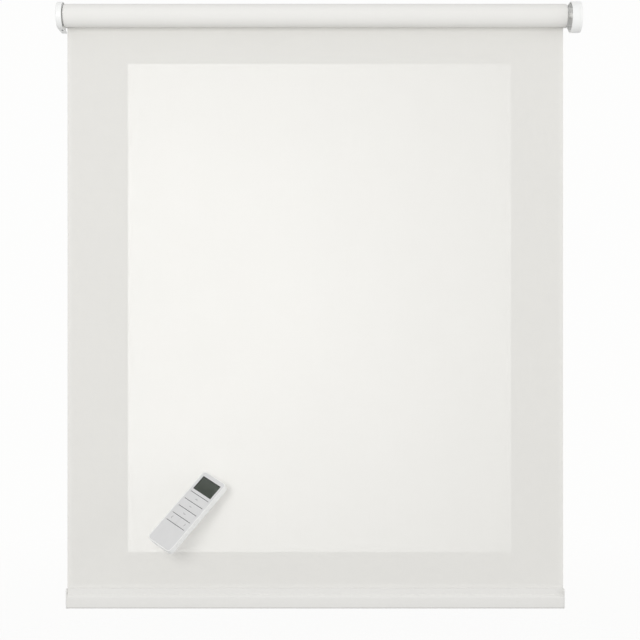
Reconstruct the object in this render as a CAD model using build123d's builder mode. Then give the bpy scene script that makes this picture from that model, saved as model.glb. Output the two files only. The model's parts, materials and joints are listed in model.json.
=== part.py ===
from build123d import *
import math
import os

# Motorised roller blind with its handset, in millimetres.
# +X runs along the roller to the right as seen from the room, +Y points at the wall, +Z is up.
# The origin is the centre of the four wall screw holes, on the wall, level with the roller's axis.

os.makedirs("parts", exist_ok=True)

# Fabric
fabric_width = 865.0
fabric_thickness = 0.45
fabric_drop_length = 995.0
roll_turns = 1.15
roll_steps_per_turn = 24
layer_gap = 0.02

# Roller tube, with a channel inside its wall that grips the fabric's top edge
roller_to_wall = 36.0
tube_radius = 19.0
tube_wall = 1.2
channel_floor = 15.6
channel_skin = 1.0
channel_width = 6.0
channel_mouth = 3.4
strip_gap = 0.25
insert_gap = 0.1
insert_flange = 1.5
insert_flange_step = 0.2

# Running and sliding clearances
running_gap = 0.05
slide_gap = 0.1

# Wall brackets
bracket_radius = 23.5
cover_wall = 1.8
cover_edge = 2.2
plate_thickness = 2.0
plate_gap = 0.2
left_gap = 3.3
left_cover_depth = 10.2
right_gap = 8.5
right_cover_depth = 12.9
right_cap_depth = 5.1
seam_chamfer = 0.45
idler_cover_radius = 26.8
idler_cover_drop = 2.7
idler_cover_slope = 58.0
flange_drop = 14.0
flange_overhang = 12.0
wall_hole_inset = 8.5
wall_hole_z = 9.0
wall_hole_radius = 2.5

# Motor head in the left bracket
head_thickness = 5.4
head_radius = 20.4
head_block_back = 8.0
neck_radius = 13.2
neck_end_gap = 1.0
crown_depth = 12.0
spigot_length = 10.0
head_screw_offset = 16.4
head_screw_radius = 1.6
head_screw_cap_radius = 2.9
head_screw_cap = 2.0

# Charging socket and setting button on the head's underside
socket_from_wall = 27.0
socket_length = 9.0
socket_width = 3.2
socket_wall = 0.3
socket_depth = 7.0
socket_sink = 0.2
tongue_length = 6.7
tongue_width = 0.7
tongue_short = 1.4
button_from_wall = 14.0
button_radius = 2.2
button_proud = 0.4
button_travel = 0.8
button_flange_radius = 2.7
button_flange = 0.8
button_stem_radius = 1.2
button_stem = 2.2

# Tubular motor
housing_radius = 12.5
housing_wall = 0.9
core_gap = 0.1
cell_radius = 9.2
cell_length = 65.0
cell_gap = 0.5
board_length = 68.0
board_thickness = 1.2
chip_side = 9.0
chip_height = 2.4
chip_count = 3
motor_length = 50.0
motor_shaft_radius = 1.2
motor_shaft_depth = 6.0
stage_gap = 1.5

# Last planetary stage
gear_module = 0.45
sun_teeth = 15
planet_teeth = 15
planet_count = 3
pressure_angle = 20.0
tooth_top = 0.8
tooth_root = 1.1
tooth_play = 0.07
flank_steps = 4
sun_length = 8.0
sun_start = 0.4
planet_length = 7.0
ring_length = 12.0
pin_radius = 1.2
carrier_radius = 9.2
carrier_thickness = 3.0
carrier_neck_radius = 5.0
bearing_length = 11.0
drive_square = 7.0
drive_wheel_length = 14.0
drive_wheel_start = 2.0
clip_thickness = 1.2
clip_radius = 7.0
clip_groove = 0.6

# Sprung idler at the right end
idler_pin_radius = 5.0
idler_pin_travel = 8.0
pin_end_gap = 0.9
pin_tip_chamfer = 0.8
collar_radius = 6.2
collar_length = 3.0
chamber_front = 8.0
seat_length = 3.0
socket_radius = 13.0
socket_length_x = 6.0
socket_screw_offset = 9.5
socket_screw_radius = 1.5
socket_screw_cap_radius = 2.8
socket_screw_cap = 1.8
spring_wire = 0.6
spring_turns = 6
spring_slack = 4.9

# Hem: a flat oval bar in a welded fabric pocket, with a cap at each end
hem_height = 35.0
bar_height = 22.4
bar_thickness = 8.0
bar_wall = 1.2
bar_end_gap = 2.0
pocket_gap = 0.1
cap_thickness = 2.4
cap_edge = 1.8
cap_margin = 0.25
cap_spigot = 15.0

# Handset
handset_left = 217.0
handset_stand_off = 48.0
handset_over_hem = 174.0
handset_right = Vector(0.743, -0.547, -0.386)
handset_out = Vector(-0.26, -0.767, 0.587)
case_width = 54.0
case_length = 150.0
case_depth = 13.0
case_corner = 6.5
case_rim = 1.2
case_floor = 2.4
case_back_round = 1.8
face_thickness = 1.4
face_gap = 0.1
screen_width = 42.0
screen_height = 28.0
screen_margin = 8.3
screen_to_keys = 5.2
lens_sink = 0.6
lens_gap = 0.1
stack_gap = 0.05
module_border = 0.75
module_thickness = 2.25
slit_width = 1.0
slit_sink = 0.3
rib_width = 0.6
key_pitch = 15.9
key_rows = 4
key_width = 43.0
key_side_gap = 0.15
key_split = 0.3
key_travel = 0.6
key_thickness = 2.0
key_lip = 1.0
key_stem_radius = 2.2
dome_radius = 2.6
dome_height = 0.3
dome_gap = 0.05
key_frame_border = 2.0
circuit_width = 46.0
circuit_thickness = 1.2
circuit_top_margin = 7.2
circuit_bottom_margin = 13.0
pillar_side_inset = 8.0
pillar_end_inset = 4.2
pillar_radius = 2.2
boss_radius = 3.4
screw_radius = 1.0
screw_cap_radius = 1.9
screw_cap = 1.4
screw_gap = 0.05
coin_radius = 12.25
coin_thickness = 5.0
coin_from_bottom = 30.0
contact_thickness = 0.4
contact_width = 8.0
door_width = 40.0
door_length = 49.0
door_recess = 1.4
door_gap = 0.1
door_tongue = 0.6
coin_window_margin = 1.2

# Sizes worked out from those above
half_width = fabric_width / 2
tube_bore = tube_radius - tube_wall
channel_ceiling = tube_radius - channel_skin
channel_angle = 360 * roll_turns
insert_radius = tube_bore - insert_gap
flange_radius = tube_radius - insert_flange_step
layer_pitch = fabric_thickness + layer_gap
leaving_radius = tube_radius + layer_gap + layer_pitch * roll_turns
fabric_y = leaving_radius + fabric_thickness / 2 - roller_to_wall

wall_hole_x = half_width - wall_hole_inset
left_rim_x = -half_width - left_gap
left_outer_x = left_rim_x - left_cover_depth
left_plate_x = left_outer_x + cover_wall
head_x = left_plate_x + plate_thickness
neck_x = head_x + head_thickness
housing_x = -half_width + crown_depth + neck_end_gap
socket_y = -socket_from_wall
button_x = (head_x + left_rim_x) / 2
button_y = -button_from_wall
cover_inside = bracket_radius - cover_wall
button_flange_z = slide_gap - cover_inside
stem_top = button_flange_z + button_flange + button_stem
button_recess_top = button_flange_z + button_flange + button_travel + slide_gap

right_rim_x = half_width + right_gap
seam_x = right_rim_x + right_cover_depth
right_outer_x = seam_x + right_cap_depth
plate_inset = cover_wall + plate_gap
right_plate_x = seam_x - plate_thickness
socket_x = right_plate_x - socket_length_x

core_radius = housing_radius - housing_wall - core_gap
cells_x = housing_x + spigot_length
cells_length = 2 * cell_length + cell_gap
board_x = cells_x + cells_length + stage_gap
motor_x = board_x + board_length + stage_gap
ring_x = motor_x + motor_length
carrier_x = ring_x + ring_length - carrier_thickness + core_gap
bearing_x = ring_x + ring_length + 2 * core_gap
housing_end_x = bearing_x + bearing_length
drive_wheel_x = housing_end_x + drive_wheel_start
clip_x = drive_wheel_x + drive_wheel_length

ring_teeth = sun_teeth + 2 * planet_teeth
planet_orbit = gear_module * (sun_teeth + planet_teeth) / 2

plug_face_x = half_width + insert_flange
chamber_x = plug_face_x - chamber_front
collar_x = chamber_x - running_gap - collar_length
spring_room = 2 * spring_wire * (spring_turns + 1) + idler_pin_travel + spring_slack
plug_x = collar_x - spring_room - seat_length
plug_length = half_width - plug_x
chamber_radius = collar_radius + slide_gap
pin_tip_x = right_plate_x - pin_end_gap

hem_bottom = -fabric_drop_length - hem_height
bar_centre_z = hem_bottom + fabric_thickness + pocket_gap + bar_height / 2
pocket_height = bar_height + 2 * (pocket_gap + fabric_thickness)
pocket_width = bar_thickness + 2 * (pocket_gap + fabric_thickness)

handset_centre = Vector(-handset_left, fabric_y - handset_stand_off, hem_bottom + handset_over_hem)
screen_y = case_length / 2 - screen_margin - screen_height / 2
first_slit_y = screen_y - screen_height / 2 - screen_to_keys - slit_width / 2
last_slit_y = first_slit_y - key_rows * key_pitch
keys_y = (first_slit_y + last_slit_y) / 2
keys_height = key_rows * key_pitch + slit_width
key_height = key_pitch - slit_width
module_top = -face_thickness - stack_gap
circuit_top = module_top - module_thickness - stack_gap
circuit_under = circuit_top - circuit_thickness
floor_inside = case_floor - case_depth
pillar_end = circuit_under - stack_gap
coin_top = circuit_under - contact_thickness - stack_gap
coin_y = coin_from_bottom - case_length / 2


def across(x):
    """Plane square to the roller at x: its own x points at the wall and its own y up."""
    return Plane(origin=(x, -roller_to_wall, 0), x_dir=(0, 1, 0), z_dir=(1, 0, 0))


def hem_section(x):
    """Plane square to the hem bar at x, centred on the bar."""
    return Plane(origin=(x, fabric_y, bar_centre_z), x_dir=(0, 1, 0), z_dir=(1, 0, 0))


def handset_level(height):
    """Plane at a height over the handset's face: x to its right side, y to its top end."""
    lift = handset_out.normalized() * (height + case_depth / 2)
    return Plane(origin=handset_centre + lift, x_dir=handset_right, z_dir=handset_out)


def radial_block(low, high, width, mode=Mode.ADD):
    """Rectangle between two radii, in the direction of the tube's channel."""
    with PolarLocations((low + high) / 2, 1, channel_angle):
        Rectangle(high - low, width, mode=mode)


def tube_insert():
    """Round section that fits the tube's bore and straddles its channel."""
    Circle(insert_radius)
    radial_block(
        channel_floor - channel_skin - insert_gap,
        tube_radius,
        channel_width + 2 * (channel_skin + insert_gap),
        Mode.SUBTRACT,
    )


def bracket_outline(radius):
    """Half round in front of the roller's axis, straight from there to the wall."""
    Circle(radius)
    with Locations((roller_to_wall / 2, 0)):
        Rectangle(roller_to_wall, 2 * radius)


def idler_slant(inset):
    """Both ends of the right bracket's slanted underside: on its round part, and on the wall."""
    radius = idler_cover_radius - inset
    slope = math.radians(idler_cover_slope)
    start = (radius * math.cos(slope), -idler_cover_drop - radius * math.sin(slope))
    end = (roller_to_wall, start[1] + (roller_to_wall - start[0]) / math.tan(slope))
    return start, end


def idler_outline(inset):
    """Round in front, with a straight top and a slanted underside from there to the wall."""
    radius = idler_cover_radius - inset
    top = radius - idler_cover_drop
    start, end = idler_slant(inset)
    with Locations((0, -idler_cover_drop)):
        Circle(radius)
    Polygon((0, top), (roller_to_wall, top), end, start, (0, -idler_cover_drop), align=None)


def flange_between(first_x, last_x, low, high):
    """Part of a bracket plate that lies on the wall, between two places and two levels."""
    with Locations(((first_x + last_x) / 2, (low + high) / 2)):
        Rectangle(last_x - first_x, high - low)


def front_edges(piece, x):
    """Edges of a bracket part in the plane at x, without those on the wall."""
    return piece.edges().filter_by_position(Axis.X, x, x).filter_by(lambda e: e.center().Y < -plate_gap)


def spiral_points(extra):
    """Points along the wound fabric, from where it leaves the tube's back to its inner end."""
    steps = round(roll_steps_per_turn * roll_turns)
    points = []
    for step in range(steps + 1):
        turns = roll_turns * step / steps
        radius = leaving_radius - layer_pitch * turns + extra
        angle = 2 * math.pi * turns
        points.append((radius * math.cos(angle), radius * math.sin(angle)))
    return points


def involute(radius, base_radius):
    """Angle, in radians, by which an involute has turned at a radius."""
    slope = math.sqrt(max((radius / base_radius) ** 2 - 1, 0))
    return slope - math.atan(slope)


def gear_points(teeth, top, root, play, turn):
    """Outline of a gear whose first tooth is centred on the angle turn, in degrees."""
    pitch_radius = gear_module * teeth / 2
    base_radius = pitch_radius * math.cos(math.radians(pressure_angle))
    top_radius = pitch_radius + top * gear_module
    root_radius = pitch_radius - root * gear_module
    half_tooth = math.pi / teeth / 2 + involute(pitch_radius, base_radius) - play / pitch_radius / 2
    flank_start = max(base_radius, root_radius)
    rise = top_radius - flank_start
    flank = [flank_start + rise * step / flank_steps for step in range(flank_steps + 1)]
    half = [(radius, half_tooth - involute(radius, base_radius)) for radius in flank]
    if root_radius < base_radius:
        half.insert(0, (root_radius, half[0][1]))
    points = []
    for tooth in range(teeth):
        centre = math.radians(turn) + 2 * math.pi * tooth / teeth
        rising = [(radius, centre - angle) for radius, angle in half]
        falling = [(radius, centre + angle) for radius, angle in reversed(half)]
        points += [(r * math.cos(a), r * math.sin(a)) for r, a in rising + falling]
    return points


# Left bracket: a bent steel plate on the wall and a moulded cover over it
with BuildPart() as motor_bracket_plate:
    with BuildSketch(across(left_plate_x)):
        bracket_outline(bracket_radius - plate_inset)
    extrude(amount=plate_thickness)
    with BuildSketch(Plane.XZ):
        flange_between(
            left_plate_x, flange_overhang - wall_hole_x, -flange_drop, bracket_radius - plate_inset
        )
        with Locations((-wall_hole_x, wall_hole_z), (-wall_hole_x, -wall_hole_z)):
            Circle(wall_hole_radius, mode=Mode.SUBTRACT)
    extrude(amount=plate_thickness)
    with BuildSketch(across(left_plate_x)):
        with Locations((0, head_screw_offset), (0, -head_screw_offset)):
            Circle(head_screw_radius + running_gap)
    extrude(amount=plate_thickness, mode=Mode.SUBTRACT)
motor_bracket_plate.part.label = "motor_bracket_plate"
export_step(motor_bracket_plate.part, "parts/motor_bracket_plate.step")

with BuildPart() as motor_bracket_cover:
    with BuildSketch(across(left_outer_x)):
        bracket_outline(bracket_radius)
    extrude(amount=left_cover_depth)
    fillet(front_edges(motor_bracket_cover, left_outer_x), cover_edge)
    with BuildSketch(across(left_plate_x)):
        bracket_outline(cover_inside)
    extrude(amount=left_cover_depth, mode=Mode.SUBTRACT)
    with BuildSketch(Plane.XY.offset(-bracket_radius)):
        with Locations((button_x, socket_y)):
            Rectangle(socket_width + 2 * slide_gap, socket_length + 2 * slide_gap)
        with Locations((button_x, button_y)):
            Circle(button_radius + slide_gap)
    extrude(amount=cover_wall, mode=Mode.SUBTRACT)
motor_bracket_cover.part.label = "motor_bracket_cover"
export_step(motor_bracket_cover.part, "parts/motor_bracket_cover.step")

# Motor head: the fixed end of the motor, screwed to the plate inside the cover
with BuildPart() as motor_head:
    with BuildSketch(across(head_x)):
        Circle(head_radius)
        with Locations(((roller_to_wall - head_block_back) / 2, -head_radius / 2)):
            Rectangle(roller_to_wall - head_block_back, head_radius)
        with Locations((0, head_screw_offset), (0, -head_screw_offset)):
            Circle(head_screw_radius + running_gap, mode=Mode.SUBTRACT)
    extrude(amount=head_thickness)
    with BuildSketch(across(neck_x)):
        with Locations((0, head_screw_offset), (0, -head_screw_offset)):
            Circle(head_screw_cap_radius + running_gap)
    extrude(amount=-head_screw_cap, mode=Mode.SUBTRACT)
    with BuildSketch(across(neck_x)):
        Circle(neck_radius)
    extrude(amount=housing_x - neck_x)
    with BuildSketch(across(housing_x)):
        Circle(core_radius)
    extrude(amount=spigot_length)
    with BuildSketch(Plane.XY.offset(-head_radius)):
        with Locations((button_x, socket_y)):
            Rectangle(socket_width + 2 * core_gap, socket_length + 2 * core_gap)
    extrude(amount=socket_depth + socket_sink + head_radius - bracket_radius, mode=Mode.SUBTRACT)
    with BuildSketch(Plane.XY.offset(-head_radius)):
        with Locations((button_x, button_y)):
            Circle(button_stem_radius + slide_gap)
    extrude(amount=stem_top + head_radius + button_travel + slide_gap, mode=Mode.SUBTRACT)
    with BuildSketch(Plane.XY.offset(-head_radius)):
        with Locations((button_x, button_y)):
            Circle(button_flange_radius + slide_gap)
    extrude(amount=button_recess_top + head_radius, mode=Mode.SUBTRACT)
motor_head.part.label = "motor_head"
export_step(motor_head.part, "parts/motor_head.step")

with BuildPart() as motor_head_screws:
    with BuildSketch(across(left_plate_x)):
        with Locations((0, head_screw_offset), (0, -head_screw_offset)):
            Circle(head_screw_radius)
    extrude(amount=neck_x - head_screw_cap - left_plate_x)
    with BuildSketch(across(neck_x - head_screw_cap)):
        with Locations((0, head_screw_offset), (0, -head_screw_offset)):
            Circle(head_screw_cap_radius)
    extrude(amount=head_screw_cap)
motor_head_screws.part.label = "motor_head_screws"
export_step(motor_head_screws.part, "parts/motor_head_screws.step")

with BuildPart() as charging_socket:
    with BuildSketch(Plane.XY.offset(socket_sink - bracket_radius)):
        with Locations((button_x, socket_y)):
            RectangleRounded(socket_width, socket_length, socket_width / 2 - socket_wall)
    extrude(amount=socket_depth)
    with BuildSketch(Plane.XY.offset(socket_sink - bracket_radius)):
        with Locations((button_x, socket_y)):
            RectangleRounded(
                socket_width - 2 * socket_wall,
                socket_length - 2 * socket_wall,
                socket_width / 2 - 2 * socket_wall,
            )
    extrude(amount=socket_depth - socket_wall, mode=Mode.SUBTRACT)
    with BuildSketch(Plane.XY.offset(socket_sink - bracket_radius + tongue_short)):
        with Locations((button_x, socket_y)):
            Rectangle(tongue_width, tongue_length)
    extrude(amount=socket_depth - tongue_short)
charging_socket.part.label = "charging_socket"
export_step(charging_socket.part, "parts/charging_socket.step")

# Setting button: pressed upward through the cover's underside
with BuildPart() as setting_button:
    with BuildSketch(Plane.XY.offset(-bracket_radius - button_proud)):
        with Locations((button_x, button_y)):
            Circle(button_radius)
    extrude(amount=button_flange_z + bracket_radius + button_proud)
    with BuildSketch(Plane.XY.offset(button_flange_z)):
        with Locations((button_x, button_y)):
            Circle(button_flange_radius)
    extrude(amount=button_flange)
    with BuildSketch(Plane.XY.offset(button_flange_z + button_flange)):
        with Locations((button_x, button_y)):
            Circle(button_stem_radius)
    extrude(amount=button_stem)
setting_button.part.label = "setting_button"
export_step(setting_button.part, "parts/setting_button.step")

# Tubular motor: housing, cells, control board, motor and its last gear stage, on the roller's axis
with BuildPart() as motor_housing:
    with BuildSketch(across(housing_x)):
        Circle(housing_radius)
        Circle(housing_radius - housing_wall, mode=Mode.SUBTRACT)
    extrude(amount=housing_end_x - housing_x)
motor_housing.part.label = "motor_housing"
export_step(motor_housing.part, "parts/motor_housing.step")

with BuildPart() as cell_holder:
    with BuildSketch(across(cells_x)):
        Circle(core_radius)
        Circle(cell_radius + core_gap, mode=Mode.SUBTRACT)
    extrude(amount=cells_length)
cell_holder.part.label = "cell_holder"
export_step(cell_holder.part, "parts/cell_holder.step")

with BuildPart() as battery_cells:
    for start in (cells_x, cells_x + cell_length + cell_gap):
        with BuildSketch(across(start)):
            Circle(cell_radius)
        extrude(amount=cell_length)
battery_cells.part.label = "battery_cells"
export_step(battery_cells.part, "parts/battery_cells.step")

with BuildPart() as control_board:
    with BuildSketch(across(board_x)):
        Rectangle(2 * core_radius, board_thickness)
    extrude(amount=board_length)
    with BuildSketch(Plane.XY.offset(board_thickness / 2)):
        for place in range(1, chip_count + 1):
            with Locations((board_x + board_length * place / (chip_count + 1), -roller_to_wall)):
                Rectangle(chip_side, chip_side)
    extrude(amount=chip_height)
control_board.part.label = "control_board"
export_step(control_board.part, "parts/control_board.step")

with BuildPart() as motor_can:
    with BuildSketch(across(motor_x)):
        Circle(core_radius)
    extrude(amount=motor_length)
    with BuildSketch(across(ring_x)):
        Circle(motor_shaft_radius + running_gap)
    extrude(amount=-motor_shaft_depth - core_gap, mode=Mode.SUBTRACT)
motor_can.part.label = "motor_can"
export_step(motor_can.part, "parts/motor_can.step")

with BuildPart() as ring_gear:
    with BuildSketch(across(ring_x)):
        Circle(core_radius)
        with BuildLine():
            Polyline(*gear_points(ring_teeth, tooth_root, tooth_top, -tooth_play, 0), close=True)
        make_face(mode=Mode.SUBTRACT)
    extrude(amount=ring_length)
ring_gear.part.label = "ring_gear"
export_step(ring_gear.part, "parts/ring_gear.step")

with BuildPart() as sun_gear:
    with BuildSketch(across(ring_x + sun_start)):
        with BuildLine():
            Polyline(*gear_points(sun_teeth, tooth_top, tooth_root, tooth_play, 0), close=True)
        make_face()
    extrude(amount=sun_length)
    with BuildSketch(across(ring_x + sun_start)):
        Circle(motor_shaft_radius)
    extrude(amount=-sun_start - motor_shaft_depth)
sun_gear.part.label = "sun_gear"
export_step(sun_gear.part, "parts/sun_gear.step")

half_planet_pitch = 180 / planet_teeth
planet_x = carrier_x - core_gap - planet_length
for number in range(planet_count):
    orbit_angle = 360 * number / planet_count
    planet_turn = orbit_angle + 180 + half_planet_pitch
    orbit_y = planet_orbit * math.cos(math.radians(orbit_angle)) - roller_to_wall
    orbit_z = planet_orbit * math.sin(math.radians(orbit_angle))
    planet_plane = Plane(origin=(planet_x, orbit_y, orbit_z), x_dir=(0, 1, 0), z_dir=(1, 0, 0))
    with BuildPart() as planet_gear:
        with BuildSketch(planet_plane):
            with BuildLine():
                outline = gear_points(planet_teeth, tooth_top, tooth_root, tooth_play, planet_turn)
                Polyline(*outline, close=True)
            make_face()
            Circle(pin_radius + running_gap, mode=Mode.SUBTRACT)
        extrude(amount=planet_length)
    planet_gear.part.label = f"planet_gear_{number + 1}"
    export_step(planet_gear.part, f"parts/planet_gear_{number + 1}.step")

with BuildPart() as planet_carrier:
    with BuildSketch(across(carrier_x)):
        Circle(carrier_radius)
    extrude(amount=carrier_thickness)
    with BuildSketch(across(carrier_x)):
        with PolarLocations(planet_orbit, planet_count):
            Circle(pin_radius)
    extrude(amount=-planet_length - core_gap)
    with BuildSketch(across(carrier_x + carrier_thickness)):
        Circle(carrier_neck_radius)
    extrude(amount=housing_end_x + running_gap - carrier_x - carrier_thickness)
    with BuildSketch(across(housing_end_x)):
        Rectangle(drive_square, drive_square)
    extrude(amount=clip_x + 2 * clip_thickness - housing_end_x)
    with BuildSketch(across(clip_x)):
        Circle(2 * drive_square)
        Circle(drive_square / 2 - clip_groove, mode=Mode.SUBTRACT)
    extrude(amount=clip_thickness, mode=Mode.SUBTRACT)
planet_carrier.part.label = "planet_carrier"
export_step(planet_carrier.part, "parts/planet_carrier.step")

with BuildPart() as output_bearing:
    with BuildSketch(across(bearing_x)):
        Circle(core_radius)
        Circle(carrier_neck_radius + running_gap, mode=Mode.SUBTRACT)
    extrude(amount=bearing_length)
output_bearing.part.label = "output_bearing"
export_step(output_bearing.part, "parts/output_bearing.step")

# What the motor turns: drive wheel and clip, crown ring, tube, strip and wound fabric
with BuildPart() as drive_wheel:
    with BuildSketch(across(drive_wheel_x)):
        tube_insert()
        Rectangle(drive_square + 2 * running_gap, drive_square + 2 * running_gap, mode=Mode.SUBTRACT)
    extrude(amount=drive_wheel_length)
drive_wheel.part.label = "drive_wheel"
export_step(drive_wheel.part, "parts/drive_wheel.step")

with BuildPart() as drive_wheel_clip:
    with BuildSketch(across(clip_x)):
        Circle(clip_radius)
        Circle(drive_square / 2 - clip_groove + running_gap, mode=Mode.SUBTRACT)
        with Locations((0, -clip_radius / 2)):
            Rectangle(drive_square - 2 * clip_groove, clip_radius, mode=Mode.SUBTRACT)
    extrude(amount=clip_thickness)
drive_wheel_clip.part.label = "drive_wheel_clip"
export_step(drive_wheel_clip.part, "parts/drive_wheel_clip.step")

with BuildPart() as crown_ring:
    with BuildSketch(across(-half_width)):
        tube_insert()
        Circle(neck_radius + running_gap, mode=Mode.SUBTRACT)
    extrude(amount=crown_depth)
    with BuildSketch(across(-half_width)):
        Circle(flange_radius)
        Circle(neck_radius + running_gap, mode=Mode.SUBTRACT)
    extrude(amount=-insert_flange)
crown_ring.part.label = "crown_ring"
export_step(crown_ring.part, "parts/crown_ring.step")

with BuildPart() as roller_tube:
    with BuildSketch(across(-half_width)):
        Circle(tube_radius)
        Circle(tube_bore, mode=Mode.SUBTRACT)
        radial_block(channel_floor - channel_skin, channel_ceiling, channel_width + 2 * channel_skin)
        radial_block(channel_floor, channel_ceiling, channel_width, Mode.SUBTRACT)
        radial_block(channel_floor, tube_radius + tube_wall, channel_mouth, Mode.SUBTRACT)
    extrude(amount=fabric_width)
roller_tube.part.label = "roller_tube"
export_step(roller_tube.part, "parts/roller_tube.step")

with BuildPart() as fabric_strip:
    with BuildSketch(across(-half_width)):
        radial_block(channel_floor + strip_gap, channel_ceiling - strip_gap, channel_width - 2 * strip_gap)
        radial_block(channel_floor + strip_gap, tube_radius - strip_gap, channel_mouth - 2 * strip_gap)
    extrude(amount=fabric_width)
fabric_strip.part.label = "fabric_strip"
export_step(fabric_strip.part, "parts/fabric_strip.step")

with BuildPart() as fabric_roll:
    with BuildSketch(across(-half_width)):
        with BuildLine():
            inner = Spline(*spiral_points(0))
            outer = Spline(*spiral_points(fabric_thickness))
            Line(inner @ 0, outer @ 0)
            Line(inner @ 1, outer @ 1)
        make_face()
    extrude(amount=fabric_width)
fabric_roll.part.label = "fabric_roll"
export_step(fabric_roll.part, "parts/fabric_roll.step")

with BuildPart() as fabric_drop:
    with BuildSketch(Plane.XY):
        with Locations((0, fabric_y)):
            Rectangle(fabric_width, fabric_thickness)
    extrude(amount=-fabric_drop_length)
fabric_drop.part.label = "fabric_drop"
export_step(fabric_drop.part, "parts/fabric_drop.step")

# Right bracket: plate, moulded rim, domed cap and the socket that the idler pin turns in
flange_top = idler_cover_radius - idler_cover_drop - plate_inset
neck_low = idler_slant(plate_inset)[1][1]

with BuildPart() as idler_bracket_plate:
    with BuildSketch(across(right_plate_x)):
        idler_outline(plate_inset)
        with Locations((0, socket_screw_offset), (0, -socket_screw_offset)):
            Circle(socket_screw_radius + running_gap, mode=Mode.SUBTRACT)
    extrude(amount=plate_thickness)
    with BuildSketch(Plane.XZ):
        flange_between(wall_hole_x - flange_overhang, right_rim_x - plate_gap, -flange_drop, flange_top)
        flange_between(right_rim_x - plate_gap, seam_x, neck_low, flange_top)
        with Locations((wall_hole_x, wall_hole_z), (wall_hole_x, -wall_hole_z)):
            Circle(wall_hole_radius, mode=Mode.SUBTRACT)
    extrude(amount=plate_thickness)
idler_bracket_plate.part.label = "idler_bracket_plate"
export_step(idler_bracket_plate.part, "parts/idler_bracket_plate.step")

with BuildPart() as idler_bracket_cover:
    with BuildSketch(across(right_rim_x)):
        idler_outline(0)
    extrude(amount=right_cover_depth)
    chamfer(front_edges(idler_bracket_cover, seam_x), seam_chamfer)
    with BuildSketch(across(right_rim_x)):
        idler_outline(cover_wall)
    extrude(amount=right_cover_depth, mode=Mode.SUBTRACT)
idler_bracket_cover.part.label = "idler_bracket_cover"
export_step(idler_bracket_cover.part, "parts/idler_bracket_cover.step")

with BuildPart() as idler_bracket_cap:
    with BuildSketch(across(seam_x)):
        idler_outline(0)
    extrude(amount=right_cap_depth)
    fillet(front_edges(idler_bracket_cap, right_outer_x), cover_edge)
    chamfer(front_edges(idler_bracket_cap, seam_x), seam_chamfer)
    with BuildSketch(across(seam_x)):
        idler_outline(cover_wall)
    extrude(amount=right_cap_depth - cover_wall, mode=Mode.SUBTRACT)
idler_bracket_cap.part.label = "idler_bracket_cap"
export_step(idler_bracket_cap.part, "parts/idler_bracket_cap.step")

with BuildPart() as idler_socket:
    with BuildSketch(across(socket_x)):
        Circle(socket_radius)
        Circle(idler_pin_radius + running_gap, mode=Mode.SUBTRACT)
        with Locations((0, socket_screw_offset), (0, -socket_screw_offset)):
            Circle(socket_screw_radius + running_gap, mode=Mode.SUBTRACT)
    extrude(amount=socket_length_x)
    with BuildSketch(across(socket_x)):
        with Locations((0, socket_screw_offset), (0, -socket_screw_offset)):
            Circle(socket_screw_cap_radius + running_gap)
    extrude(amount=socket_screw_cap, mode=Mode.SUBTRACT)
idler_socket.part.label = "idler_socket"
export_step(idler_socket.part, "parts/idler_socket.step")

with BuildPart() as idler_socket_screws:
    with BuildSketch(across(socket_x)):
        with Locations((0, socket_screw_offset), (0, -socket_screw_offset)):
            Circle(socket_screw_cap_radius)
    extrude(amount=socket_screw_cap)
    with BuildSketch(across(socket_x + socket_screw_cap)):
        with Locations((0, socket_screw_offset), (0, -socket_screw_offset)):
            Circle(socket_screw_radius)
    extrude(amount=seam_x - socket_x - socket_screw_cap)
idler_socket_screws.part.label = "idler_socket_screws"
export_step(idler_socket_screws.part, "parts/idler_socket_screws.step")

# Idler: a plug in the tube's right end with a sprung pin that lets the roller out of its brackets
with BuildPart() as idler_plug:
    with BuildSketch(across(plug_x)):
        tube_insert()
    extrude(amount=plug_length)
    with BuildSketch(across(half_width)):
        Circle(flange_radius)
    extrude(amount=insert_flange)
    with BuildSketch(across(plug_x)):
        Circle(chamber_radius)
    extrude(amount=chamber_x - plug_x, mode=Mode.SUBTRACT)
    with BuildSketch(across(chamber_x)):
        Circle(idler_pin_radius + running_gap)
    extrude(amount=chamber_front, mode=Mode.SUBTRACT)
idler_plug.part.label = "idler_plug"
export_step(idler_plug.part, "parts/idler_plug.step")

with BuildPart() as idler_pin:
    with BuildSketch(across(collar_x)):
        Circle(collar_radius)
    extrude(amount=collar_length)
    with BuildSketch(across(collar_x)):
        Circle(idler_pin_radius)
    extrude(amount=pin_tip_x - collar_x)
    chamfer(idler_pin.edges().filter_by_position(Axis.X, pin_tip_x, pin_tip_x), pin_tip_chamfer)
idler_pin.part.label = "idler_pin"
export_step(idler_pin.part, "parts/idler_pin.step")

with BuildPart() as spring_seat:
    with BuildSketch(across(plug_x)):
        Circle(chamber_radius - running_gap)
    extrude(amount=seat_length)
spring_seat.part.label = "spring_seat"
export_step(spring_seat.part, "parts/spring_seat.step")

spring_radius = collar_radius - 2 * spring_wire
spring_x = plug_x + seat_length + spring_wire + running_gap
spring_length = collar_x - running_gap - spring_wire - spring_x
with BuildPart() as idler_spring:
    with BuildLine() as coil:
        Helix(
            spring_length / spring_turns,
            spring_length,
            spring_radius,
            center=(spring_x, -roller_to_wall, 0),
            direction=(1, 0, 0),
        )
    with BuildSketch(Plane(origin=coil.line @ 0, z_dir=coil.line % 0)):
        Circle(spring_wire)
    sweep(is_frenet=True)
idler_spring.part.label = "idler_spring"
export_step(idler_spring.part, "parts/idler_spring.step")

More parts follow.
